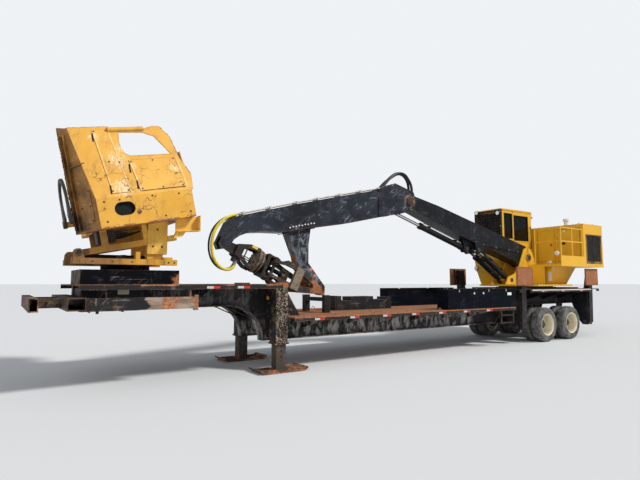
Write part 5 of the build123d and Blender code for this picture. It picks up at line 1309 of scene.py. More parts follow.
def upper_brackets():
    """Pin ends, bolts, weld lines and gussets of the boom's brackets."""
    bm = bmesh.new()
    for side in (-1, 1):
        y = side * 0.287
        dome(bm, [(0.112, y - side * 0.004), (0.112, y + side * 0.004), (0.104, y + side * 0.008),
            (0.072, y + side * 0.008), (0.066, y + side * 0.016), (0.03, y + side * 0.017)],
            (9.10, 0, 2.40), "y", 40)
        y = side * 0.262
        dome(bm, [(0.062, y - side * 0.002), (0.062, y + side * 0.012), (0.05, y + side * 0.018)],
            (8.25, 0, 1.72), "y", 32)
    rounded("bracket_pins", bm, "Dark bolt", "upper")
    for side, tag in SIDES:
        bolt_heads(f"foot_pin_bolts_{tag}", around((9.10, side * 0.295, 2.40), 0.088, 6, (0, side, 0)),
            "upper", "Bare bolt", 0.010, 0.008)
    edge = bmesh.new()
    outline = [(7.96, 1.59), (8.08, 1.80), (8.40, 1.90), (8.64, 2.14), (8.90, 2.64), (9.01, 2.69),
        (9.19, 2.69), (9.33, 2.56), (9.40, 2.40), (9.46, 2.18)]
    for side in (-1, 1):
        for (x0, z0), (x1, z1) in zip(outline, outline[1:]):
            rod(edge, (x0, side * 0.262, z0), (x1, side * 0.262, z1), 0.006, 6)
    rounded("bracket_welds", edge, "Cab yellow", "upper")
    boxes("body_gussets", [((9.52, -0.66, 1.59), (9.56, -0.635, 2.10)),
        ((9.9, -0.668, 1.59), (9.93, -0.63, 2.06)), ((10.3, -0.668, 1.59), (10.33, -0.63, 2.02)),
        ((9.60, 0.635, 1.59), (9.64, 0.66, 2.08)), ((10.2, 0.635, 1.59), (10.24, 0.66, 2.04))],
        "Cab yellow", "upper")


def upper_tank():
    """Filler cap, seams and hoses of the tank."""
    bm = bmesh.new()
    dome(bm, [(0.060, 2.36), (0.072, 2.365), (0.074, 2.40), (0.066, 2.412), (0.02, 2.416)],
        (8.38, 0.64, 0), "z", 32)
    rounded("tank_cap", bm, "Guard black", "upper")
    boxes("tank_seams", [((8.164, 0.32, 2.26), (8.186, 0.96, 2.272)),
        ((8.44, 0.293, 1.60), (8.46, 0.30, 2.10)), ((8.98, 0.293, 1.60), (9.0, 0.30, 2.10))], "Cab yellow",
        "upper", bevel=0.002)
    for i, y in enumerate((0.36, 0.43)):
        hose(f"tank_hose_{i}", [(8.62, y, 1.72), (8.50, y - 0.05, 1.66), (8.36, y - 0.09, 1.62),
            (8.30, y - 0.08, 1.66)], 0.019, "Hose rubber", "upper")


def upper_rails():
    """Feet of the catwalk's rails and the rail at its end."""
    bm = bmesh.new()
    for x in (9.23, 9.83, 10.40):
        dome(bm, [(0.027, 2.180), (0.027, 2.190), (0.024, 2.196), (0.022, 2.24), (0.020, 2.24)],
            (x, -1.232, 0), "z", 20)
    rounded("rail_feet", bm, "Cab yellow", "upper")
    bm = bmesh.new()
    rod(bm, (9.23, -1.2, 3.25), (9.23, -0.42, 3.25), 0.018)
    rod(bm, (9.23, -0.42, 3.25), (9.23, -0.42, 2.18), 0.018)
    rod(bm, (9.23, -1.2, 2.85), (9.23, -0.42, 2.85), 0.016)
    rounded("end_rail", bm, "Cab yellow", "upper")


class LOADER_OT_upper(bpy.types.Operator):
    """Swing bolts, welds, treads, tank fittings and hoses of the upper frame"""

    bl_idname = "loader.upper"
    bl_label = "Upper frame"

    def execute(self, context):
        bolt_heads("swing_bolts", around((9.30, 0, 1.591), 0.70, 40, (0, 0, 1), axis="z"), "upper",
            "Dark bolt", 0.018, 0.018)
        bolt_heads("ring_bolts", around((9.30, 0, 1.501), 0.84, 36, (0, 0, 1), axis="z"), "trailer",
            "Dark bolt", 0.016, 0.016)
        upper_treads()
        upper_brackets()
        upper_tank()
        upper_rails()
        return {"FINISHED"}


def boom_pins():
    """Round pin ends with keeper plates."""
    bm = bmesh.new()
    for side in (-1, 1):
        y = side * 0.26
        dome(bm, [(0.10, side * 0.232), (0.10, y - side * 0.006), (0.092, y), (0.058, y),
            (0.054, y + side * 0.008), (0.02, y + side * 0.009)], ELBOW_PIN, "y", 40)
    rounded("elbow_pin_ends", bm, "Dark bolt", "stick")
    for side, tag in SIDES:
        bolt_heads(f"elbow_bolts_{tag}", around((4.20, side * 0.262, 3.68), 0.077, 6, (0, side, 0)),
            "stick", "Dark bolt", 0.010, 0.008)
    bm = bmesh.new()
    for x, z, r in ((6.85, 2.55, 0.055), (6.52, 2.58, 0.05)):
        reach = 0.222 if x > 6.7 else 0.084
        for side in (-1, 1):
            y = side * reach
            dome(bm, [(r, y - side * 0.002), (r, y + side * 0.010), (r - 0.012, y + side * 0.014)],
                (x, 0, z), "y", 28)
    rounded("lug_pin_ends", bm, "Dark bolt", "boom")
    bm = bmesh.new()
    for side in (-1, 1):
        y = side * 0.1005
        dome(bm, [(0.052, y - side * 0.03), (0.052, y), (0.04, y + side * 0.006)], (-0.66, 0, 2.42), "y", 28)
    rounded("nose_pin_ends", bm, "Dark bolt", "stick")


def boom_sides():
    """Weld lines, doublers, pipes and clamps on the boom's sides."""
    bm = bmesh.new()
    top = [(9.05, 2.75), (5.30, 3.66), (4.36, 3.842)]
    low = [(8.68, 2.24), (6.30, 2.87), (5.30, 3.18), (4.30, 3.515)]
    for side in (-1, 1):
        for line in (top, low):
            inset = -0.014 if line is top else 0.014
            for (x0, z0), (x1, z1) in zip(line, line[1:]):
                rod(bm, (x0, side * 0.2, z0 + inset), (x1, side * 0.2, z1 + inset), 0.006, 6)
    rounded("boom_welds", bm, "Boom black", "boom")
    bm = bmesh.new()
    for frame in (NEAR, FAR):
        way = 1 if frame is NEAR else -1
        prism(bm, [(way * x, z) for x, z in ((8.72, 2.28), (9.1, 2.2), (9.3, 2.36), (9.25, 2.62),
            (9.0, 2.69), (8.6, 2.76), (8.4, 2.6))], 0.199, 0.207, frame)
        prism(bm, [(way * x, z) for x, z in ((6.2, 2.93), (7.25, 2.655), (7.4, 2.74), (6.75, 3.02),
            (6.25, 3.05))], 0.199, 0.207, frame)
    finish_piece("boom_doublers", bm, "Boom black", "boom", bevel=0.002)
    route = [(6.842, -0.214, 2.752), (7.1, -0.214, 2.725), (7.827, -0.214, 2.65), (8.5, -0.214, 2.592),
        (8.794, -0.214, 2.566)]
    for i, drop in enumerate((0.0, 0.035)):
        hose(f"boom_pipe_{i}", [(x, y, z - drop) for x, y, z in route], 0.011, "Boom black", "boom")
    boxes("boom_clamps", [((x - 0.018, -0.232, z - 0.052), (x + 0.018, -0.199, z + 0.018))
        for x, z in ((7.05, 2.729), (7.6, 2.671), (8.2, 2.618), (8.65, 2.578))], "Boom black", "boom")
    bolt_heads("boom_clamp_bolts", [((x, -0.233, z - 0.0175), (0, -1, 0))
        for x, z in ((7.05, 2.729), (7.6, 2.671), (8.2, 2.618), (8.65, 2.578))], "boom", "Bare bolt",
        0.008, 0.006)


def boom_stick_sides():
    """Welds, elbow doublers, side bosses, the heel's bolts and holes."""
    bm = bmesh.new()
    top = [(-0.46, 2.945), (0.86, 3.298), (1.99, 3.578), (3.2, 3.86)]
    low = [(3.45, 3.272), (2.33, 3.024), (1.33, 2.854), (0.64, 2.714), (0.21, 2.704), (-0.17, 2.674),
        (-0.40, 2.584)]
    for side in (-1, 1):
        for line in (top, low):
            for (x0, z0), (x1, z1) in zip(line, line[1:]):
                rod(bm, (x0, side * 0.2, z0), (x1, side * 0.2, z1), 0.006, 6)
        for x, z in ((0.417, 2.96), (-0.42, 2.72)):
            dome(bm, [(0.05, side * 0.198), (0.05, side * 0.205), (0.043, side * 0.212),
                (0.02, side * 0.212)], (x, 0, z), "y", 24)
    rounded("stick_welds", bm, "Stick black", "stick")
    bm = bmesh.new()
    for frame, way in ((NEAR, 1), (FAR, -1)):
        prism(bm, [(way * x, z) for x, z in ((0.55, 2.70), (1.45, 2.88), (1.40, 3.02), (0.95, 3.05),
            (0.60, 2.86))], 0.199, 0.206, frame)
        prism(bm, [(way * x, z) for x, z in ((-0.76, 2.33), (-0.60, 2.36), (-0.50, 2.52), (-0.53, 2.70),
            (-0.64, 2.74), (-0.74, 2.52))], 0.199, 0.208, frame)
    finish_piece("stick_doublers", bm, "Stick black", "stick", bevel=0.002)
    for side, tag in SIDES:
        heads = [((0.735 + i * 0.0755, side * 0.201, 2.800 + i * 0.0167 + 0.010 * (i % 2)), (0, side, 0))
            for i in range(9)]
        bolt_heads(f"heel_bolts_{tag}", heads, "stick", "Bare bolt", 0.019, 0.022)
    bm = bmesh.new()
    for x, z in ((1.335, 1.93), (1.43, 1.80)):
        for side in (-1, 1):
            dome(bm, [(0.036, side * 0.0985), (0.036, side * 0.1015), (0.03, side * 0.102)], (x, 0, z),
                "y", 24)
    rounded("heel_plugs", bm, "Faded red", "stick")


def boom_cylinders():
    """Gland rings, pressure pipes and clamps along each barrel."""
    for name, base, tip, ys, length, body in (("lift", (8.25, 1.72), (6.85, 2.55), (-0.14, 0.14), 1.3,
            "lift_barrels"), ("stick", (6.52, 2.58), (3.72, 3.44), (0.0,), 1.85, "stick_barrel")):
        run = Vector((tip[0] - base[0], 0, tip[1] - base[1])).normalized()
        up = Vector((-run.z, 0, run.x))
        if up.z < 0:
            up = -up
        rings, pipes = bmesh.new(), []
        for y in ys:
            frame = Matrix((run, up, run.cross(up))).transposed().to_4x4()
            frame.translation = at(base[0], y, base[1])
            for start in (0.2, length - 0.075, length - 0.012):
                dome(rings, [(0.079, start), (0.090, start + 0.004), (0.090, start + 0.010),
                    (0.079, start + 0.013)], (0, 0, 0), "x", 32, frame)
            for k, side in enumerate((-0.032, 0.032)):
                pipes.append((f"{name}_pipe_{k}_{'near' if y < 0 else 'far'}",
                    [(0.24 + 0.03 * k, 0.078, side), (0.26 + 0.03 * k, 0.105, side), (0.40, 0.105, side),
                    (length - 0.25, 0.105, side), (length - 0.13, 0.105, side),
                    (length - 0.09, 0.082, side)] if k == 0 else [(0.16, 0.05, side), (0.20, 0.10, side),
                    (0.34, 0.105, side), (0.50, 0.105, side), (0.52, 0.08, side)], frame))
            for x in (0.45, length - 0.35):
                block(rings, (x - 0.02, 0.07, -0.05), (x + 0.02, 0.12, 0.05), frame)
        rounded(f"{name}_barrel_rings", rings, "Boom black", body)
        for label, route, frame in pipes:
            hose(label, route, 0.011, "Pipe steel" if name == "stick" else "Boom black", body, frame)


class LOADER_OT_boom(bpy.types.Operator):
    """Pin ends, doublers, pipes, clamps and welds of boom, stick and cylinders"""

    bl_idname = "loader.boom"
    bl_label = "Boom and stick"

    def execute(self, context):
        boom_pins()
        boom_sides()
        boom_stick_sides()
        boom_cylinders()
        return {"FINISHED"}


# side views of the elbow's arch and the nose's bow
ARCH = [(3.25, 3.928), (3.42, 3.965), (3.60, 4.15), (3.80, 4.34), (4.01, 4.46), (4.22, 4.45), (4.36, 4.32),
    (4.445, 4.12), (4.445, 3.90)]
BOW = [(-0.42, 3.007), (-0.58, 2.963), (-0.74, 2.85), (-0.87, 2.68), (-0.93, 2.46), (-0.925, 2.24),
    (-0.86, 2.06), (-0.745, 1.94), (-0.605, 1.89)]


# the joints that the hoses cross: both bodies, then where the bend starts and ends
ELBOW = ("stick", "boom", at(3.5, 0, 4.0), at(4.4, 0, 4.0))
NOSE = ("stick", "grapple_hanger", at(-0.7, 0, 2.85), at(-0.7, 0, 1.98))


def hoses_fittings(end):
    """Ferrules and nuts where the hoses end."""
    bm, elbow, nose = bmesh.new(), bmesh.new(), bmesh.new()
    lead = Vector((0.17, 0, 0.037)).normalized()
    for y in (-0.08, -0.03, 0.03, 0.08):
        for start, way in (((3.25, y, 3.928), 1), ((-0.42, y, 3.007), -1)):
            run = lead if way == 1 else Vector((-0.966, 0, -0.259))
            a = Vector(start)
            if way == -1 and y > 0:
                continue
            rod(bm, a - run * 0.01, a + run * 0.035, 0.021, 6)
            rod(bm, a + run * 0.03, a + run * 0.085, 0.0195, 14)
        rod(elbow, (4.445, y, 3.895), (4.445, y, 3.935), 0.022, 6)
        rod(elbow, (4.445, y, 3.93), (4.445, y, 3.985), 0.0195, 14)
    up = GRAPPLE.to_3x3() @ Vector((0, 0, 1))
    for y in (-0.08, -0.03):
        a = Vector((end.x + MIDDLE, y, end.z))
        rod(nose, a, a - up * 0.03, 0.026, 6)
        rod(nose, a - up * 0.028, a - up * 0.085, 0.023, 14)
    rounded("hose_fittings", bm, "Fitting steel", "stick")
    rounded("elbow_fittings", elbow, "Fitting steel", "boom")
    rounded("nose_fittings", nose, "Fitting steel", "grapple_hanger")


class LOADER_OT_hoses(bpy.types.Operator):
    """Pressure hoses at the elbow and the nose, with crimped fittings"""

    bl_idname = "loader.hoses"
    bl_label = "Hoses"

    def execute(self, context):
        r = context.scene.loader_sizes.hose
        for i, y in enumerate((-0.08, -0.03, 0.03, 0.08)):
            drift = (-0.012, -0.05, 0.0, -0.035)[i]
            route = [(x - drift * 0.3 * (k > 4), y * (1 - 0.4 * (2 < k < 7)),
                z + drift * (2 < k < 7) - 0.012) for k, (x, z) in enumerate(ARCH)]
            made = hose(f"elbow_hose_{i}", route, r, "Hose rubber", ELBOW)
            if i == 0:
                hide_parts("elbow_hoses")
        end = GRAPPLE @ Vector((0.365, 0, -0.215))
        before = GRAPPLE @ Vector((0.365, 0, -0.365))
        for i, y in enumerate((-0.08, -0.03)):
            wide = (0.0, 0.045)[i]
            route = [(x - wide * math.sin(math.pi * k / 9), y, z) for k, (x, z) in enumerate(BOW)]
            route += [(before.x + MIDDLE, y, before.z), (end.x + MIDDLE, y, end.z)]
            made = hose(f"nose_hose_{i}", route, 0.019, "Hose rubber", NOSE)
            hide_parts("nose_hoses")
            if i == 0:
                hose("nose_sleeve",
                    [(x, y, z)
                    for x, y, z in route[:-1]] + [tuple(Vector(route[-1]) * 0.4 + Vector(route[-2]) *
                    0.6)], 0.029, "Yellow sleeve", NOSE)
        thin = [(x + 0.03, 0.03, z - 0.02) for x, z in BOW[:-1]] + [(-0.62, 0.03, 1.93),
            (before.x + MIDDLE + 0.01, 0.03, before.z), (end.x + MIDDLE, 0.03, end.z)]
        hose("nose_hose_2", thin, 0.012, "Hose rubber", NOSE)
        hoses_fittings(end)
        return {"FINISHED"}


def grapple_plates():
    """Blank yellow plate, tooth ring and pin ends."""
    boxes("grapple_plate", [((0.53, -0.1525, 0.178), (0.66, -0.1505, 0.228))], "Yellow plate",
        "grapple_hanger", GRAPPLE, 0.0)
    bm = bmesh.new()
    for i in range(36):
        turn = GRAPPLE @ Matrix.Rotation(2 * math.pi * i / 36, 4, "X")
        block(bm, (0.744, -0.012, 0.238), (0.786, 0.012, 0.2555), turn)
    finish_piece("ring_teeth", bm, "Grapple steel", "grapple_hanger", bevel=0.003)
    bm = bmesh.new()
    for y in (-0.12, 0.12):
        for z, way in ((0.232, 1), (-0.232, -1)):
            dome(bm, [(0.055, z), (0.055, z + way * 0.014), (0.042, z + way * 0.020)], (1.15, y, 0), "z",
                28, GRAPPLE)
    rounded("tong_pin_ends", bm, "Dark bolt", "grapple_head")


def grapple_rods():
    """Small hoses and a valve on the head and the hanger."""
    boxes("head_valve", [((0.875, -0.105, 0.13), (0.925, 0.105, 0.205)),
        ((0.995, -0.06, -0.19), (1.10, 0.06, -0.13))], "Dark bolt", "grapple_head", GRAPPLE, 0.005)
    for i, y in enumerate((-0.065, 0.065)):
        hose(f"head_hose_{i}", [(0.90, y, 0.19), (0.93, y, 0.245), (1.02, y * 0.9, 0.17),
            (1.06, y * 0.6, 0.10), (1.07, y * 0.3, 0.05)], 0.011, "Hose rubber", "grapple_head", GRAPPLE)
        hose(f"hanger_hose_{i}", [(0.37, y, -0.10), (0.42, y, -0.06), (0.50, y * 1.1, -0.04),
            (0.62, y * 1.2, -0.05), (0.735, y * 1.2, -0.06)], 0.011, "Hose rubber", "grapple_hanger",
            GRAPPLE)
    boxes("hanger_straps", [((0.44, -0.156, -0.10), (0.47, -0.149, 0.10))], "Dark bolt", "grapple_hanger",
        GRAPPLE, 0.002)


class LOADER_OT_grapple(bpy.types.Operator):
    """Ring bolts, cylinder rod, pins, hoses and plates of the grapple"""

    bl_idname = "loader.grapple"
    bl_label = "Grapple"

    def execute(self, context):
        bolt_heads("hanger_ring_bolts", around((0.739, 0, 0), 0.222, 24, (-1, 0, 0), axis="x"),
            "grapple_hanger", "Dark bolt", 0.014, 0.016, GRAPPLE)
        bolt_heads("head_ring_bolts", around((0.851, 0, 0), 0.222, 24, (1, 0, 0), axis="x"),
            "grapple_head", "Dark bolt", 0.014, 0.016, GRAPPLE)
        bm = bmesh.new()
        dome(bm, [(0.046, 0.995), (0.056, 1.0), (0.056, 1.04), (0.048, 1.05), (0.048, 1.38), (0.058, 1.39),
            (0.058, 1.435), (0.034, 1.444)], (0, 0, 0), "x", 32, GRAPPLE)
        rounded("head_barrel", bm, "Boom black", "grapple_head")
        bm = bmesh.new()
        dome(bm, [(0.027, 1.44), (0.027, 1.53), (0.02, 1.534)], (0, 0, 0), "x", 24, GRAPPLE)
        rounded("head_rod", bm, "Rod chrome", "grapple_head")
        grapple_plates()
        grapple_rods()
        return {"FINISHED"}


# length of the covers' sheet up its slope
SLOPE = 1.2744


def delimber_covers():
    """Screws at the covers' corners and dark lifting slots at their edges."""
    s = SLOPE
    out = (0, 0, 1)
    screws = [(0.225, s - 0.09), (0.41, s - 0.085), (0.34, 0.62), (0.49, 0.60), (0.28, 0.10),
        (0.515, 0.09), (0.67, s - 0.68), (1.37, s - 0.67), (1.02, s - 0.675), (0.735, 0.095),
        (1.405, 0.09), (1.07, 0.09)]
    bolt_heads("cover_screws", [((u, t, 0.0085), out) for u, t in screws], "delimber_box", "Dark bolt",
        0.011, 0.006, LEAN)
    bm = bmesh.new()
    for u, t, lean in ((0.196, s - 0.20, -0.10), (0.262, 0.13, -0.10), (0.628, s - 0.80, -0.08),
            (0.680, 0.17, -0.08)):
        turn = LEAN @ Matrix.Translation((u, t, 0)) @ Matrix.Rotation(lean, 4, "Z")
        block(bm, (-0.012, -0.075, 0.0005), (0.010, 0.075, 0.0095), turn)
    block(bm, (0.96, 0.056, 0.0005), (1.44, 0.066, 0.0095), LEAN)
    block(bm, (0.72, 0.054, 0.0005), (0.90, 0.062, 0.0095), LEAN)
    finish_piece("cover_slots", bm, "Rubber black", "delimber_box", bevel=0.002)
    seams = bmesh.new()
    left = [(0.20, s - 0.06), (0.43, s - 0.06), (0.54, 0.06), (0.27, 0.06)]
    right = [(0.64, s - 0.65), (1.40, s - 0.64), (1.44, 0.06), (0.70, 0.06)]
    for outline in (left, right):
        for (x0, y0), (x1, y1) in zip(outline, outline[1:] + outline[:1]):
            rod(seams, (x0, y0, 0.001), (x1, y1, 0.001), 0.0045, 5, LEAN)
    finish_piece("cover_seams", seams, "Rust edge", "delimber_box")


def delimber_rims():
    """Rolled rims of the oval hole and the window, the plug and band bolts."""
    side = DELIMBER @ axes((1, 0, 0), (0, 0, 1), (0, -1, 0))
    bm = bmesh.new()
    ring = []
    for i in range(48):
        t = 2 * math.pi * i / 48
        c, z = math.cos(t), math.sin(t)
        ring.append((0.41 + (0.05 if c > 0 else -0.05) + 0.1 * c, 0.255 + 0.1 * z))
    for i in range(48):
        a, b = ring[i], ring[(i + 1) % 48]
        rod(bm, (*a, 0.0), (*b, 0.0), 0.0065, 6, side)
    rounded("oval_rim", bm, "Rubber black", "delimber_box")
    boxes("oval_backing", [((0.22, -0.955, 0.12), (0.60, -0.949, 0.39))], "Rubber black", "delimber_box",
        DELIMBER)
    bm = bmesh.new()
    dome(bm, [(0.034, -0.005), (0.034, 0.010), (0.026, 0.015), (0.012, 0.016)], (0.617, 0.177, 0), "z", 20,
        side)
    rounded("side_plug", bm, "Rust edge", "delimber_box")
    bolt_heads("band_bolts", [((u, w, 0.001), (0, 0, 1))
        for u, w in ((0.12, 0.39), (0.12, 0.08), (0.35, 0.40), (0.86, 0.41), (1.02, 0.06), (1.30, 0.40),
        (1.45, 0.08))], "delimber_box", "Dark bolt", 0.012, 0.007, side)
    s = SLOPE
    window = [(0.60, s - 0.109), (0.985, s - 0.124), (1.16, s - 0.204), (1.30, s - 0.444),
        (1.37, s - 0.579), (0.69, s - 0.569), (0.61, s - 0.520), (0.575, s - 0.40), (0.57, s - 0.284)]
    bm = bmesh.new()
    for (x0, y0), (x1, y1) in zip(window, window[1:] + window[:1]):
        rod(bm, (x0, y0, -0.007), (x1, y1, -0.007), 0.011, 8, LEAN)
    rounded("window_rim", bm, "Delimber yellow", "delimber_box")


def delimber_ragged():
    """Torn, rusty edges of the plates, uneven along their length."""
    chance = random.Random(7)
    bm = bmesh.new()
    s = SLOPE

    def torn(a, b, frame, side, count, deep=0.012):
        """A strip along an edge with an outer side that is torn at random."""
        a, b = Vector(a), Vector(b)
        out = Vector(side).normalized()
        edge = [a]
        for i in range(1, count):
            edge.append(a.lerp(b, i / count) + out * chance.uniform(0.001, deep))
        edge.append(b)
        thick = (b - a).cross(out).normalized() * 0.0055
        for p, q in zip(edge, edge[1:]):
            base_p, base_q = p - out * 0.012, q - out * 0.012
            v = [bm.verts.new(frame @ (c + t)) for t in (thick, -thick) for c in (base_p, base_q, q, p)]
            for face in ((0, 1, 2, 3), (7, 6, 5, 4), (0, 4, 5, 1), (1, 5, 6, 2), (2, 6, 7, 3), (3, 7, 4, 0)):
                bm.faces.new([v[k] for k in face])

    torn((0, 0, -0.007), (-0.15, s, -0.007), LEAN, (-1, 0, 0), 60)
    torn((0, -1.0, 0.45), (0, -1.0, 0), DELIMBER, (-1, 0, 0), 22)
    torn((0.0, -0.993, 0), (1.53, -0.993, 0), DELIMBER, (0, 0, -1), 70, 0.010)
    torn((-0.15, s, -0.007), (0.47, s, -0.007), LEAN, (0, 1, 0), 30, 0.006)
    torn((1.18, s - 0.01, -0.007), (1.29, s - 0.02, -0.007), LEAN, (0, 1, 0), 8, 0.008)
    torn((1.29, s - 0.02, -0.007), (1.42, s - 0.22, -0.007), LEAN, (1, 0.7, 0), 14, 0.012)
    torn((1.42, s - 0.22, -0.007), (1.48, s - 0.65, -0.007), LEAN, (1, 0.1, 0), 22, 0.014)
    torn((1.48, s - 0.65, -0.007), (1.60, s - 1.0, -0.007), LEAN, (1, 0.3, 0), 18, 0.014)
    torn((-0.26, -0.36, 1.70), (-0.26, -0.36, 0.05), DELIMBER, (-1, 0, 0), 80, 0.012)
    finish_piece("torn_edges", bm, "Rust edge", "delimber_box")


def delimber_mouth():
    """Ribs and a bolted cover on the slanted front."""
    bm = bmesh.new()
    for a in (0.09, 0.20):
        block(bm, (a, 0.03, -0.002), (a + 0.014, 1.55, 0.045), MOUTH)
    block(bm, (0.22, 1.02, -0.002), (0.60, 1.034, 0.03), MOUTH)
    finish_piece("mouth_ribs", bm, "Delimber yellow", "delimber_box", bevel=0.003)
    bm = bmesh.new()
    block(bm, (0.30, 0.10, 0.0), (0.60, 0.62, 0.014), MOUTH)
    finish_piece("mouth_cover", bm, "Delimber yellow", "delimber_box", bevel=0.006)
    bolt_heads("mouth_cover_bolts", [((a, w, 0.015), (0, 0, 1)) for a in (0.33, 0.57)
        for w in (0.13, 0.36, 0.59)], "delimber_box", "Dark bolt", 0.013, 0.009, MOUTH)


def delimber_below():
    """Valves, hoses and bolts on the frame under the box, black sheets standing in for shade, and pedestal
    trim.
    """
    boxes("floor_valve", [((0.02, -0.44, -0.22), (0.30, -0.22, -0.014)),
        ((0.06, -0.50, -0.16), (0.10, -0.44, -0.06)), ((0.16, -0.50, -0.16), (0.20, -0.44, -0.06))],
        "Dark bolt", "delimber_box", DELIMBER, 0.008)
    for i in range(4):
        hose(f"floor_hose_{i}", [(0.30, -0.40 + 0.05 * i, -0.06 - 0.03 * i),
            (0.42, -0.40 + 0.05 * i, -0.08 - 0.03 * i), (0.60, -0.36 + 0.05 * i, -0.13),
            (0.85, -0.30 + 0.04 * i, -0.07), (0.98, -0.30 + 0.04 * i, -0.014)], 0.015, "Hose rubber",
            "delimber_box", DELIMBER)
    boxes("floor_web", [((0.05, 0.465, -0.34), (1.02, 0.475, -0.014))], "Pedestal yellow", "delimber_box",
        DELIMBER)
    # painted shade: thin black sheets in the gaps between the box's beams and the pedestal, standing in for
    # the shade there
    boxes("shade_sheets", [((-3.18, 0.405, 1.985), (-2.05, 0.415, 2.15)),
        ((-3.18, -0.36, 1.985), (-2.90, 0.36, 2.03))], "Rubber black", "delimber_turn")
    bm = bmesh.new()
    for side in (-1, 1):
        y = side * 0.645
        dome(bm, [(0.044, y - side * 0.012), (0.044, y + side * 0.004), (0.034, y + side * 0.010)],
            (-3.30, 0, 2.11), "y", 28)
    rounded("tilt_pin_ends", bm, "Dark bolt", "delimber_turn")
    bolt_heads("column_bolts", [((x, side * 0.6105, z), (0, side, 0)) for side in (-1, 1)
        for x, z in ((-2.17, 2.26), (-2.02, 2.26), (-2.10, 2.55))], "delimber_box", "Dark bolt", 0.014,
        0.008)
    bolt_heads("pedestal_bolts", [((x, side * 0.6155, 1.99), (0, side, 0)) for side in (-1, 1)
        for x in (-3.1, -2.8, -2.5, -1.9, -1.80)], "delimber_turn", "Dark bolt", 0.012, 0.007)
    bm = bmesh.new()
    for x in (-2.62, -2.33):
        rod(bm, (x, -0.42, 2.02), (x, 0.42, 2.02), 0.045, 20)
    rod(bm, (-2.475, 0, 1.985), (-2.475, 0, 2.10), 0.16, 32)
    rounded("turn_motor", bm, "Dark bolt", "delimber_turn")
    bolt_heads("turn_ring_bolts", around((-2.475, 0, 1.9855), 0.355, 28, (0, 0, 1), axis="z"),
        "delimber_turn", "Dark bolt", 0.014, 0.012)


def delimber_throat():
    """Ribbed feed rollers over the trough, on their axles."""
    bm = bmesh.new()
    for u in (0.45, 1.10):
        dome(bm, [(0.05, -0.30), (0.12, -0.28), (0.085, -0.15), (0.075, 0.0), (0.085, 0.15), (0.12, 0.28),
            (0.05, 0.30)], (u, 0, 0.315), "y", 36, DELIMBER)
        for i in range(12):
            turn = DELIMBER @ Matrix.Translation((u, 0, 0.315)) @ Matrix.Rotation(2 * math.pi * i / 12, 4,
                "Y")
            block(bm, (0.078, -0.22, -0.006), (0.104, -0.08, 0.006), turn)
            block(bm, (0.078, 0.08, -0.006), (0.104, 0.22, 0.006), turn)
        rod(bm, (u, -0.345, 0.315), (u, 0.345, 0.315), 0.035, 16, DELIMBER)
    finish_piece("feed_rollers", bm, "Knife steel", "delimber_box")


class LOADER_OT_delimber(bpy.types.Operator):
    """Screws, slots, rims, ragged edges, rollers and hoses of the delimber"""

    bl_idname = "loader.delimber"
    bl_label = "Delimber"

    def execute(self, context):
        delimber_covers()
        delimber_rims()
        delimber_ragged()
        delimber_mouth()
        delimber_below()
        delimber_throat()
        return {"FINISHED"}


def trailer_reflectors():
    """Red and white strips along both edges, and lamps at the rear."""
    reds, whites = bmesh.new(), bmesh.new()
    for frame, way in ((NEAR, 1), (FAR, -1)):
        for x, z in [(x, 1.571) for x in (-1.43, -0.88)] + [(x, 0.958)
                for x in (0.71, 1.55, 2.41, 3.25, 4.1, 4.95, 5.8)] + [(x, 1.412) for x in (8.2, 9.2, 10.2)]:
            a, b, c = way * x, way * (x + 0.115), way * (x + 0.23)
            block(whites, (min(a, b), z - 0.02, 1.2195), (max(a, b), z + 0.02, 1.2212), frame)
            block(reds, (min(b, c), z - 0.02, 1.2195), (max(b, c), z + 0.02, 1.2212), frame)
    finish_piece("red_strips", reds, "Red lens", "trailer")
    finish_piece("white_strips", whites, "Reflector white", "trailer")
    bm, rims = bmesh.new(), bmesh.new()
    for y in (-0.62, -0.36, 0.36, 0.62):
        dome(bm, [(0.052, 11.298), (0.052, 11.312), (0.044, 11.320)], (0, y, 1.22), "x", 24)
        dome(rims, [(0.06, 11.296), (0.062, 11.306), (0.053, 11.308)], (0, y, 1.22), "x", 24)
    rounded("tail_lamps", bm, "Red lens", "trailer")
    rounded("tail_lamp_rims", rims, "Rubber black", "trailer")
    boxes("amber_reflectors", [((WING - 0.006, y - 0.05, 1.325), (WING, y + 0.05, 1.385))
        for y in (-0.655, 0.655)], "Amber lens", "trailer", bevel=0.001)


def trailer_plates():
    """Blank plates on the neck's web and the tool box."""
    boxes("neck_plate", [((-2.675, -0.4695, 1.455), (-2.498, -0.4675, 1.597))], "Cream plate", "trailer",
        bevel=0.0)
    boxes("box_plates", [((6.66, -1.2165, 1.32), (6.83, -1.2145, 1.39))], "White plate", "trailer", bevel=0.0)
    boxes("king_ribs", [((x, -0.55, 1.17), (x + 0.014, 0.55, 1.188)) for x in (-3.1, -2.6)],
        "Trailer black", "trailer")


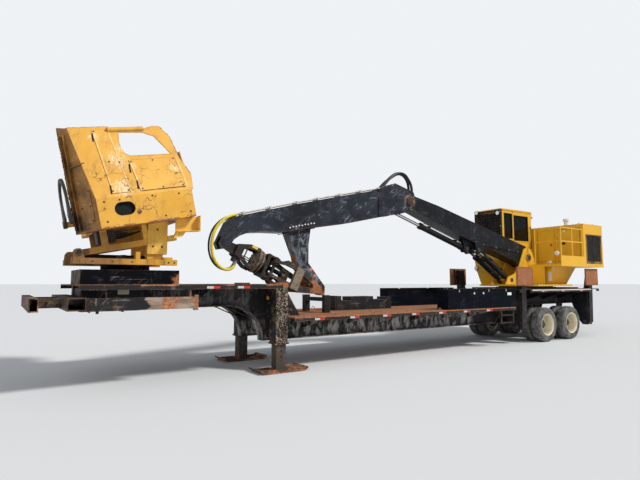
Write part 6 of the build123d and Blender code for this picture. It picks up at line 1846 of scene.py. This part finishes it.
def trailer_sleeves():
    """Lips and keeper pins of the front leg sleeves, and the legs' holes and foot ribs."""
    welds, pins = bmesh.new(), bmesh.new()
    for side in (-1, 1):
        y0, y1 = sorted((side * 0.712, side * 0.968))
        block(welds, (0.012, y0, 1.622), (0.268, y1, 1.646))
        for z in (0.5, 0.56, 1.60):
            surround(welds, 0.021, 0.259, side * 0.84 - 0.119, side * 0.84 + 0.119, 0.011, z, z + 0.012, HERE)
        rod(pins, (0.14, side * 0.70, 0.80), (0.14, side * 0.985, 0.80), 0.018, 16)
        rod(pins, (0.14, side * 0.985, 0.80), (0.14, side * 0.99, 0.80), 0.03, 16)
        rod(pins, (0.005, side * 0.84, 1.05), (0.275, side * 0.84, 1.05), 0.014, 12)
    finish_piece("sleeve_lips", welds, "Sleeve black", "trailer", bevel=0.003)
    rounded("sleeve_pins", pins, "Dark bolt", "trailer")
    for side, tag in SIDES:
        bm = bmesh.new()
        for i in range(7):
            z = 0.27 + i * 0.11
            dome(bm, [(0.019, side * 0.9395), (0.019, side * 0.9405), (0.015, side * 0.9408)],
                (0.14, 0, z), "y", 16)
        rounded(f"leg_holes_{tag}", bm, "Rubber black", f"leg_{tag}")
        ribs = bmesh.new()
        for a, b in ((0.03, -0.30), (0.25, 0.58)):
            block(ribs, (min(a, b), side * 0.84 - 0.16, 0.024), (max(a, b), side * 0.84 - 0.148, 0.055))
            block(ribs, (min(a, b), side * 0.84 + 0.148, 0.024), (max(a, b), side * 0.84 + 0.16, 0.055))
        finish_piece(f"foot_ribs_{tag}", ribs, "Leg steel", f"leg_{tag}", bevel=0.004)


def trailer_deck_trim():
    """Seams, ties and rub rails of the decks."""
    seams = bmesh.new()
    for x in (1.42, 2.64, 3.86, 5.08, 6.30):
        block(seams, (x, -1.215, 1.009), (x + 0.006, 1.215, 1.0115))
    for x in (-2.6, -1.4, -0.3):
        block(seams, (x, -1.215, 1.619), (x + 0.006, 1.215, 1.6215))
    finish_piece("deck_seams", seams, "Rubber black", "trailer")
    rails = bmesh.new()
    for side in (-1, 1):
        rod(rails, (7.75, side * 1.222, 1.435), (10.80, side * 1.222, 1.435), 0.018, 16)
    rounded("rub_rails", rails, "Pipe steel", "trailer")
    ties = bmesh.new()
    for side in (-1, 1):
        for x in (1.2, 2.2, 3.2, 4.2):
            for t in range(7):
                a, b = math.pi * t / 7, math.pi * (t + 1) / 7
                rod(ties, (x + 0.045 * math.cos(a), side * 1.15, 1.008 + 0.05 * math.sin(a)),
                    (x + 0.045 * math.cos(b), side * 1.15, 1.008 + 0.05 * math.sin(b)), 0.008, 8)
    rounded("tie_rings", ties, "Bar steel", "trailer")


def trailer_boxes_trim():
    """Lid hinges, latches, bolts and vents of the long boxes."""
    bm, plates = bmesh.new(), bmesh.new()
    for side in (-1, 1):
        for x in (4.8, 5.9, 6.6):
            block(plates, (x - 0.03, side * 1.2195 - 0.004, 1.41), (x + 0.03, side * 1.2195 + 0.001, 1.49))
            rod(bm, (x, side * 1.222, 1.42), (x, side * 1.222, 1.475), 0.008, 8)
            rod(bm, (x - 0.035, side * 0.846, 1.487), (x + 0.035, side * 0.846, 1.487), 0.011, 10)
    rounded("box_latches", bm, "Bare bolt", "trailer")
    finish_piece("box_latch_plates", plates, "Trailer black", "trailer", bevel=0.001)
    for side, tag in SIDES:
        bolt_heads(f"box_bolts_{tag}", [((x, side * 1.2155, 1.383), (0, side, 0)) for x in (5.354, 5.702)],
            "trailer", "White plate", 0.02, 0.008)
    bm = bmesh.new()
    block(bm, (5.44, -1.2165, 1.196), (5.50, -1.2145, 1.204))
    row("box_vents", bm, 3, (0.08, 0, 0), "Rubber black", "trailer")
    boxes("bunk_straps", [((x, 0.055, 1.008), (x + 0.05, 0.425, 1.012 + h))
        for x, h in ((2.14, 0.322), (2.72, 0.302), (3.1, 0.302), (3.7, 0.282))], "Trailer black", "trailer")


def trailer_under():
    """Brake chambers, air tanks and lines under the decks."""
    bm = bmesh.new()
    for x in (8.47, 9.70):
        for side in (-1, 1):
            dome(bm, [(0.05, -0.11), (0.085, -0.10), (0.088, -0.01), (0.095, -0.008), (0.095, 0.008),
                (0.088, 0.01), (0.085, 0.09), (0.05, 0.10)], (x + 0.22, side * 0.32, 0.56), "x", 28)
            rod(bm, (x + 0.10, side * 0.32, 0.54), (x + 0.02, side * 0.32, 0.50), 0.012, 10)
            block(bm, (x + 0.10, side * 0.32 - 0.05, 0.46), (x + 0.115, side * 0.32 + 0.05, 0.65))
            block(bm, (x, side * 0.32 - 0.03, 0.45), (x + 0.11, side * 0.32 + 0.03, 0.50))
    rounded("brake_chambers", bm, "Trailer black", "trailer")
    bm = bmesh.new()
    for x in (7.42, 10.15):
        dome(bm, [(0.04, -0.36), (0.11, -0.345), (0.125, -0.30), (0.125, 0.30), (0.11, 0.345),
            (0.04, 0.36)], (x, 0, 1.12), "y", 32)
    rounded("air_tanks", bm, "Trailer black", "trailer")
    for i, y in enumerate((-0.35, 0.35)):
        hose(f"air_line_{i}", [(-3.2, y, 1.30), (-2.0, y, 1.28), (-0.9, y, 1.28), (-0.2, y, 0.95),
            (0.4, y, 0.80), (3.0, y, 0.80), (6.6, y, 0.80), (7.2, y, 1.0), (7.4, y * 0.9, 1.12)], 0.011,
            "Hose rubber", "trailer")
    bolt_heads("spring_bolts", [((x + a, side * 0.5205, z), (0, side, 0)) for side in (-1, 1)
        for x in (7.855, 9.085, 10.315) for a in (-0.06, 0.06) for z in (0.92, 0.80)], "trailer",
        "Dark bolt", 0.016, 0.014)


def trailer_stabilizers():
    """Pin ends, pad lips and arm pipes of the stabilizers."""
    for place, x in (("front", 7.55), ("rear", 11.03)):
        for side, tag in SIDES:
            body = f"stabilizer_{place}_{tag}"
            bm = bmesh.new()
            for way in (-1, 1):
                a = x + way * 0.171
                dome(bm, [(0.052, a - way * 0.006), (0.052, a + way * 0.004), (0.04, a + way * 0.010)],
                    (0, side * 0.95, 0.45), "x", 24)
            rounded(f"stabilizer_pin_{place}_{tag}", bm, "Dark bolt", "trailer")
            frame = NEAR if side < 0 else FAR
            way = 1 if side < 0 else -1
            bm = bmesh.new()
            surround(bm, way * x - 0.325, way * x + 0.325, 1.585, 2.045, 0.016, 1.157, 1.166, frame)
            finish_piece(f"pad_lip_{place}_{tag}", bm, "Stabilizer black", body, bevel=0.003)
            bm = bmesh.new()
            for a in (-0.05, 0.05):
                rod(bm, (way * x + a, 1.20, 0.94), (way * x + a, 1.45, 0.955), 0.012, 10, frame)
            rounded(f"arm_pipes_{place}_{tag}", bm, "Stabilizer black", body)


class LOADER_OT_trailer(bpy.types.Operator):
    """Reflectors, plates, bolts, welds, latches, brakes and tanks of the trailer"""

    bl_idname = "loader.trailer"
    bl_label = "Trailer"

    def execute(self, context):
        trailer_reflectors()
        trailer_plates()
        trailer_sleeves()
        trailer_deck_trim()
        trailer_boxes_trim()
        trailer_under()
        trailer_stabilizers()
        return {"FINISHED"}


def stage_floor():
    """A wide round floor under the machine."""
    bm = bmesh.new()
    radius, steps = 400, 64
    turns = [2 * math.pi * i / steps for i in range(steps)]
    bm.faces.new([bm.verts.new((radius * math.cos(t), radius * math.sin(t), 0)) for t in turns])
    tree, surface, _ = new_material("Floor")
    connect(tree, surface, {"Base Color": (0.72, 0.72, 0.71, 1), "Roughness": 0.9})
    linked("Floor", bm, "Floor")


def stage_world(scene):
    """A soft sky for the light, with a plain backdrop behind the machine."""
    world = bpy.data.worlds.new("Studio")
    scene.world = world
    world.use_nodes = True
    tree = world.node_tree
    backdrop = tree.nodes["Background"]
    connect(tree, backdrop, {"Color": (0.72, 0.78, 0.86, 1), "Strength": 0.42})
    plain = add(tree, "ShaderNodeBackground", {"Color": (0.86, 0.89, 0.92, 1), "Strength": 1.0})
    path = tree.nodes.new("ShaderNodeLightPath").outputs
    seen = Field(tree, path["Is Camera Ray"]) | Field(tree, path["Is Transmission Ray"])
    shown = add(tree, "ShaderNodeMixShader", {0: seen, 1: backdrop.outputs[0], 2: plain.outputs[0]})
    tree.links.new(shown.outputs[0], tree.nodes["World Output"].inputs["Surface"])


class LOADER_OT_stage(bpy.types.Operator):
    """Set the floor, the lights and the camera"""

    bl_idname = "loader.stage"
    bl_label = "Stage"

    def execute(self, context):
        scene = context.scene
        scene.view_settings.view_transform = "Standard"
        stage_floor()
        stage_world(scene)
        for name, turn, strength, soft in (("Key", (48, 0, 38), 2.7, 8), ("Fill", (62, 0, -62), 0.9, 60)):
            lamp = bpy.data.lights.new(name, "SUN")
            lamp.energy, lamp.angle = strength, math.radians(soft)
            made = bpy.data.objects.new(name, lamp)
            made.rotation_euler = [math.radians(a) for a in turn]
            scene.collection.objects.link(made)
        lens = bpy.data.cameras.new("Portrait")
        lens.sensor_width, lens.lens = 36.0, 36.0 * 480 / 640
        lens.clip_end = 2000
        made = bpy.data.objects.new("Portrait", lens)
        yaw, pitch = math.radians(56.28), math.radians(5.0)
        made.location = at(-4.316, -8.92, 1.66)
        aim = Vector((math.cos(yaw) * math.cos(pitch), math.sin(yaw) * math.cos(pitch), math.sin(pitch)))
        made.rotation_euler = aim.to_track_quat("-Z", "Y").to_euler()
        scene.collection.objects.link(made)
        scene.camera = made
        return {"FINISHED"}


class LOADER_PT_sidebar(bpy.types.Panel):
    """Settings and steps of the log loader"""

    bl_label = "Log Loader"
    bl_idname = "LOADER_PT_sidebar"
    bl_space_type = "VIEW_3D"
    bl_region_type = "UI"
    bl_category = "Log Loader"

    def draw(self, context):
        for settings in (context.scene.loader_paint, context.scene.loader_sizes):
            column = self.layout.column()
            for key in settings.__annotations__:
                column.prop(settings, key)
        for step in STEPS:
            self.layout.operator(step.bl_idname)


STEPS = (LOADER_OT_finishes, LOADER_OT_wheels, LOADER_OT_cab, LOADER_OT_seat, LOADER_OT_housing,
    LOADER_OT_upper, LOADER_OT_boom, LOADER_OT_hoses, LOADER_OT_grapple, LOADER_OT_delimber,
    LOADER_OT_trailer, LOADER_OT_stage)
GROUPS = {"loader_paint": LoaderPaint, "loader_sizes": LoaderSizes}


def register():
    """Registers the settings, the steps and the panel."""
    for item in (*GROUPS.values(), *STEPS, LOADER_PT_sidebar):
        bpy.utils.register_class(item)
    for key, item in GROUPS.items():
        setattr(bpy.types.Scene, key, bpy.props.PointerProperty(type=item))


def unregister():
    """Takes back what register added."""
    for key in GROUPS:
        delattr(bpy.types.Scene, key)
    for item in reversed((*GROUPS.values(), *STEPS, LOADER_PT_sidebar)):
        bpy.utils.unregister_class(item)


def main():
    """Runs every step."""
    register()
    for step in STEPS:
        space, verb = step.bl_idname.split(".")
        getattr(getattr(bpy.ops, space), verb)()


if __name__ == "__main__":
    main()
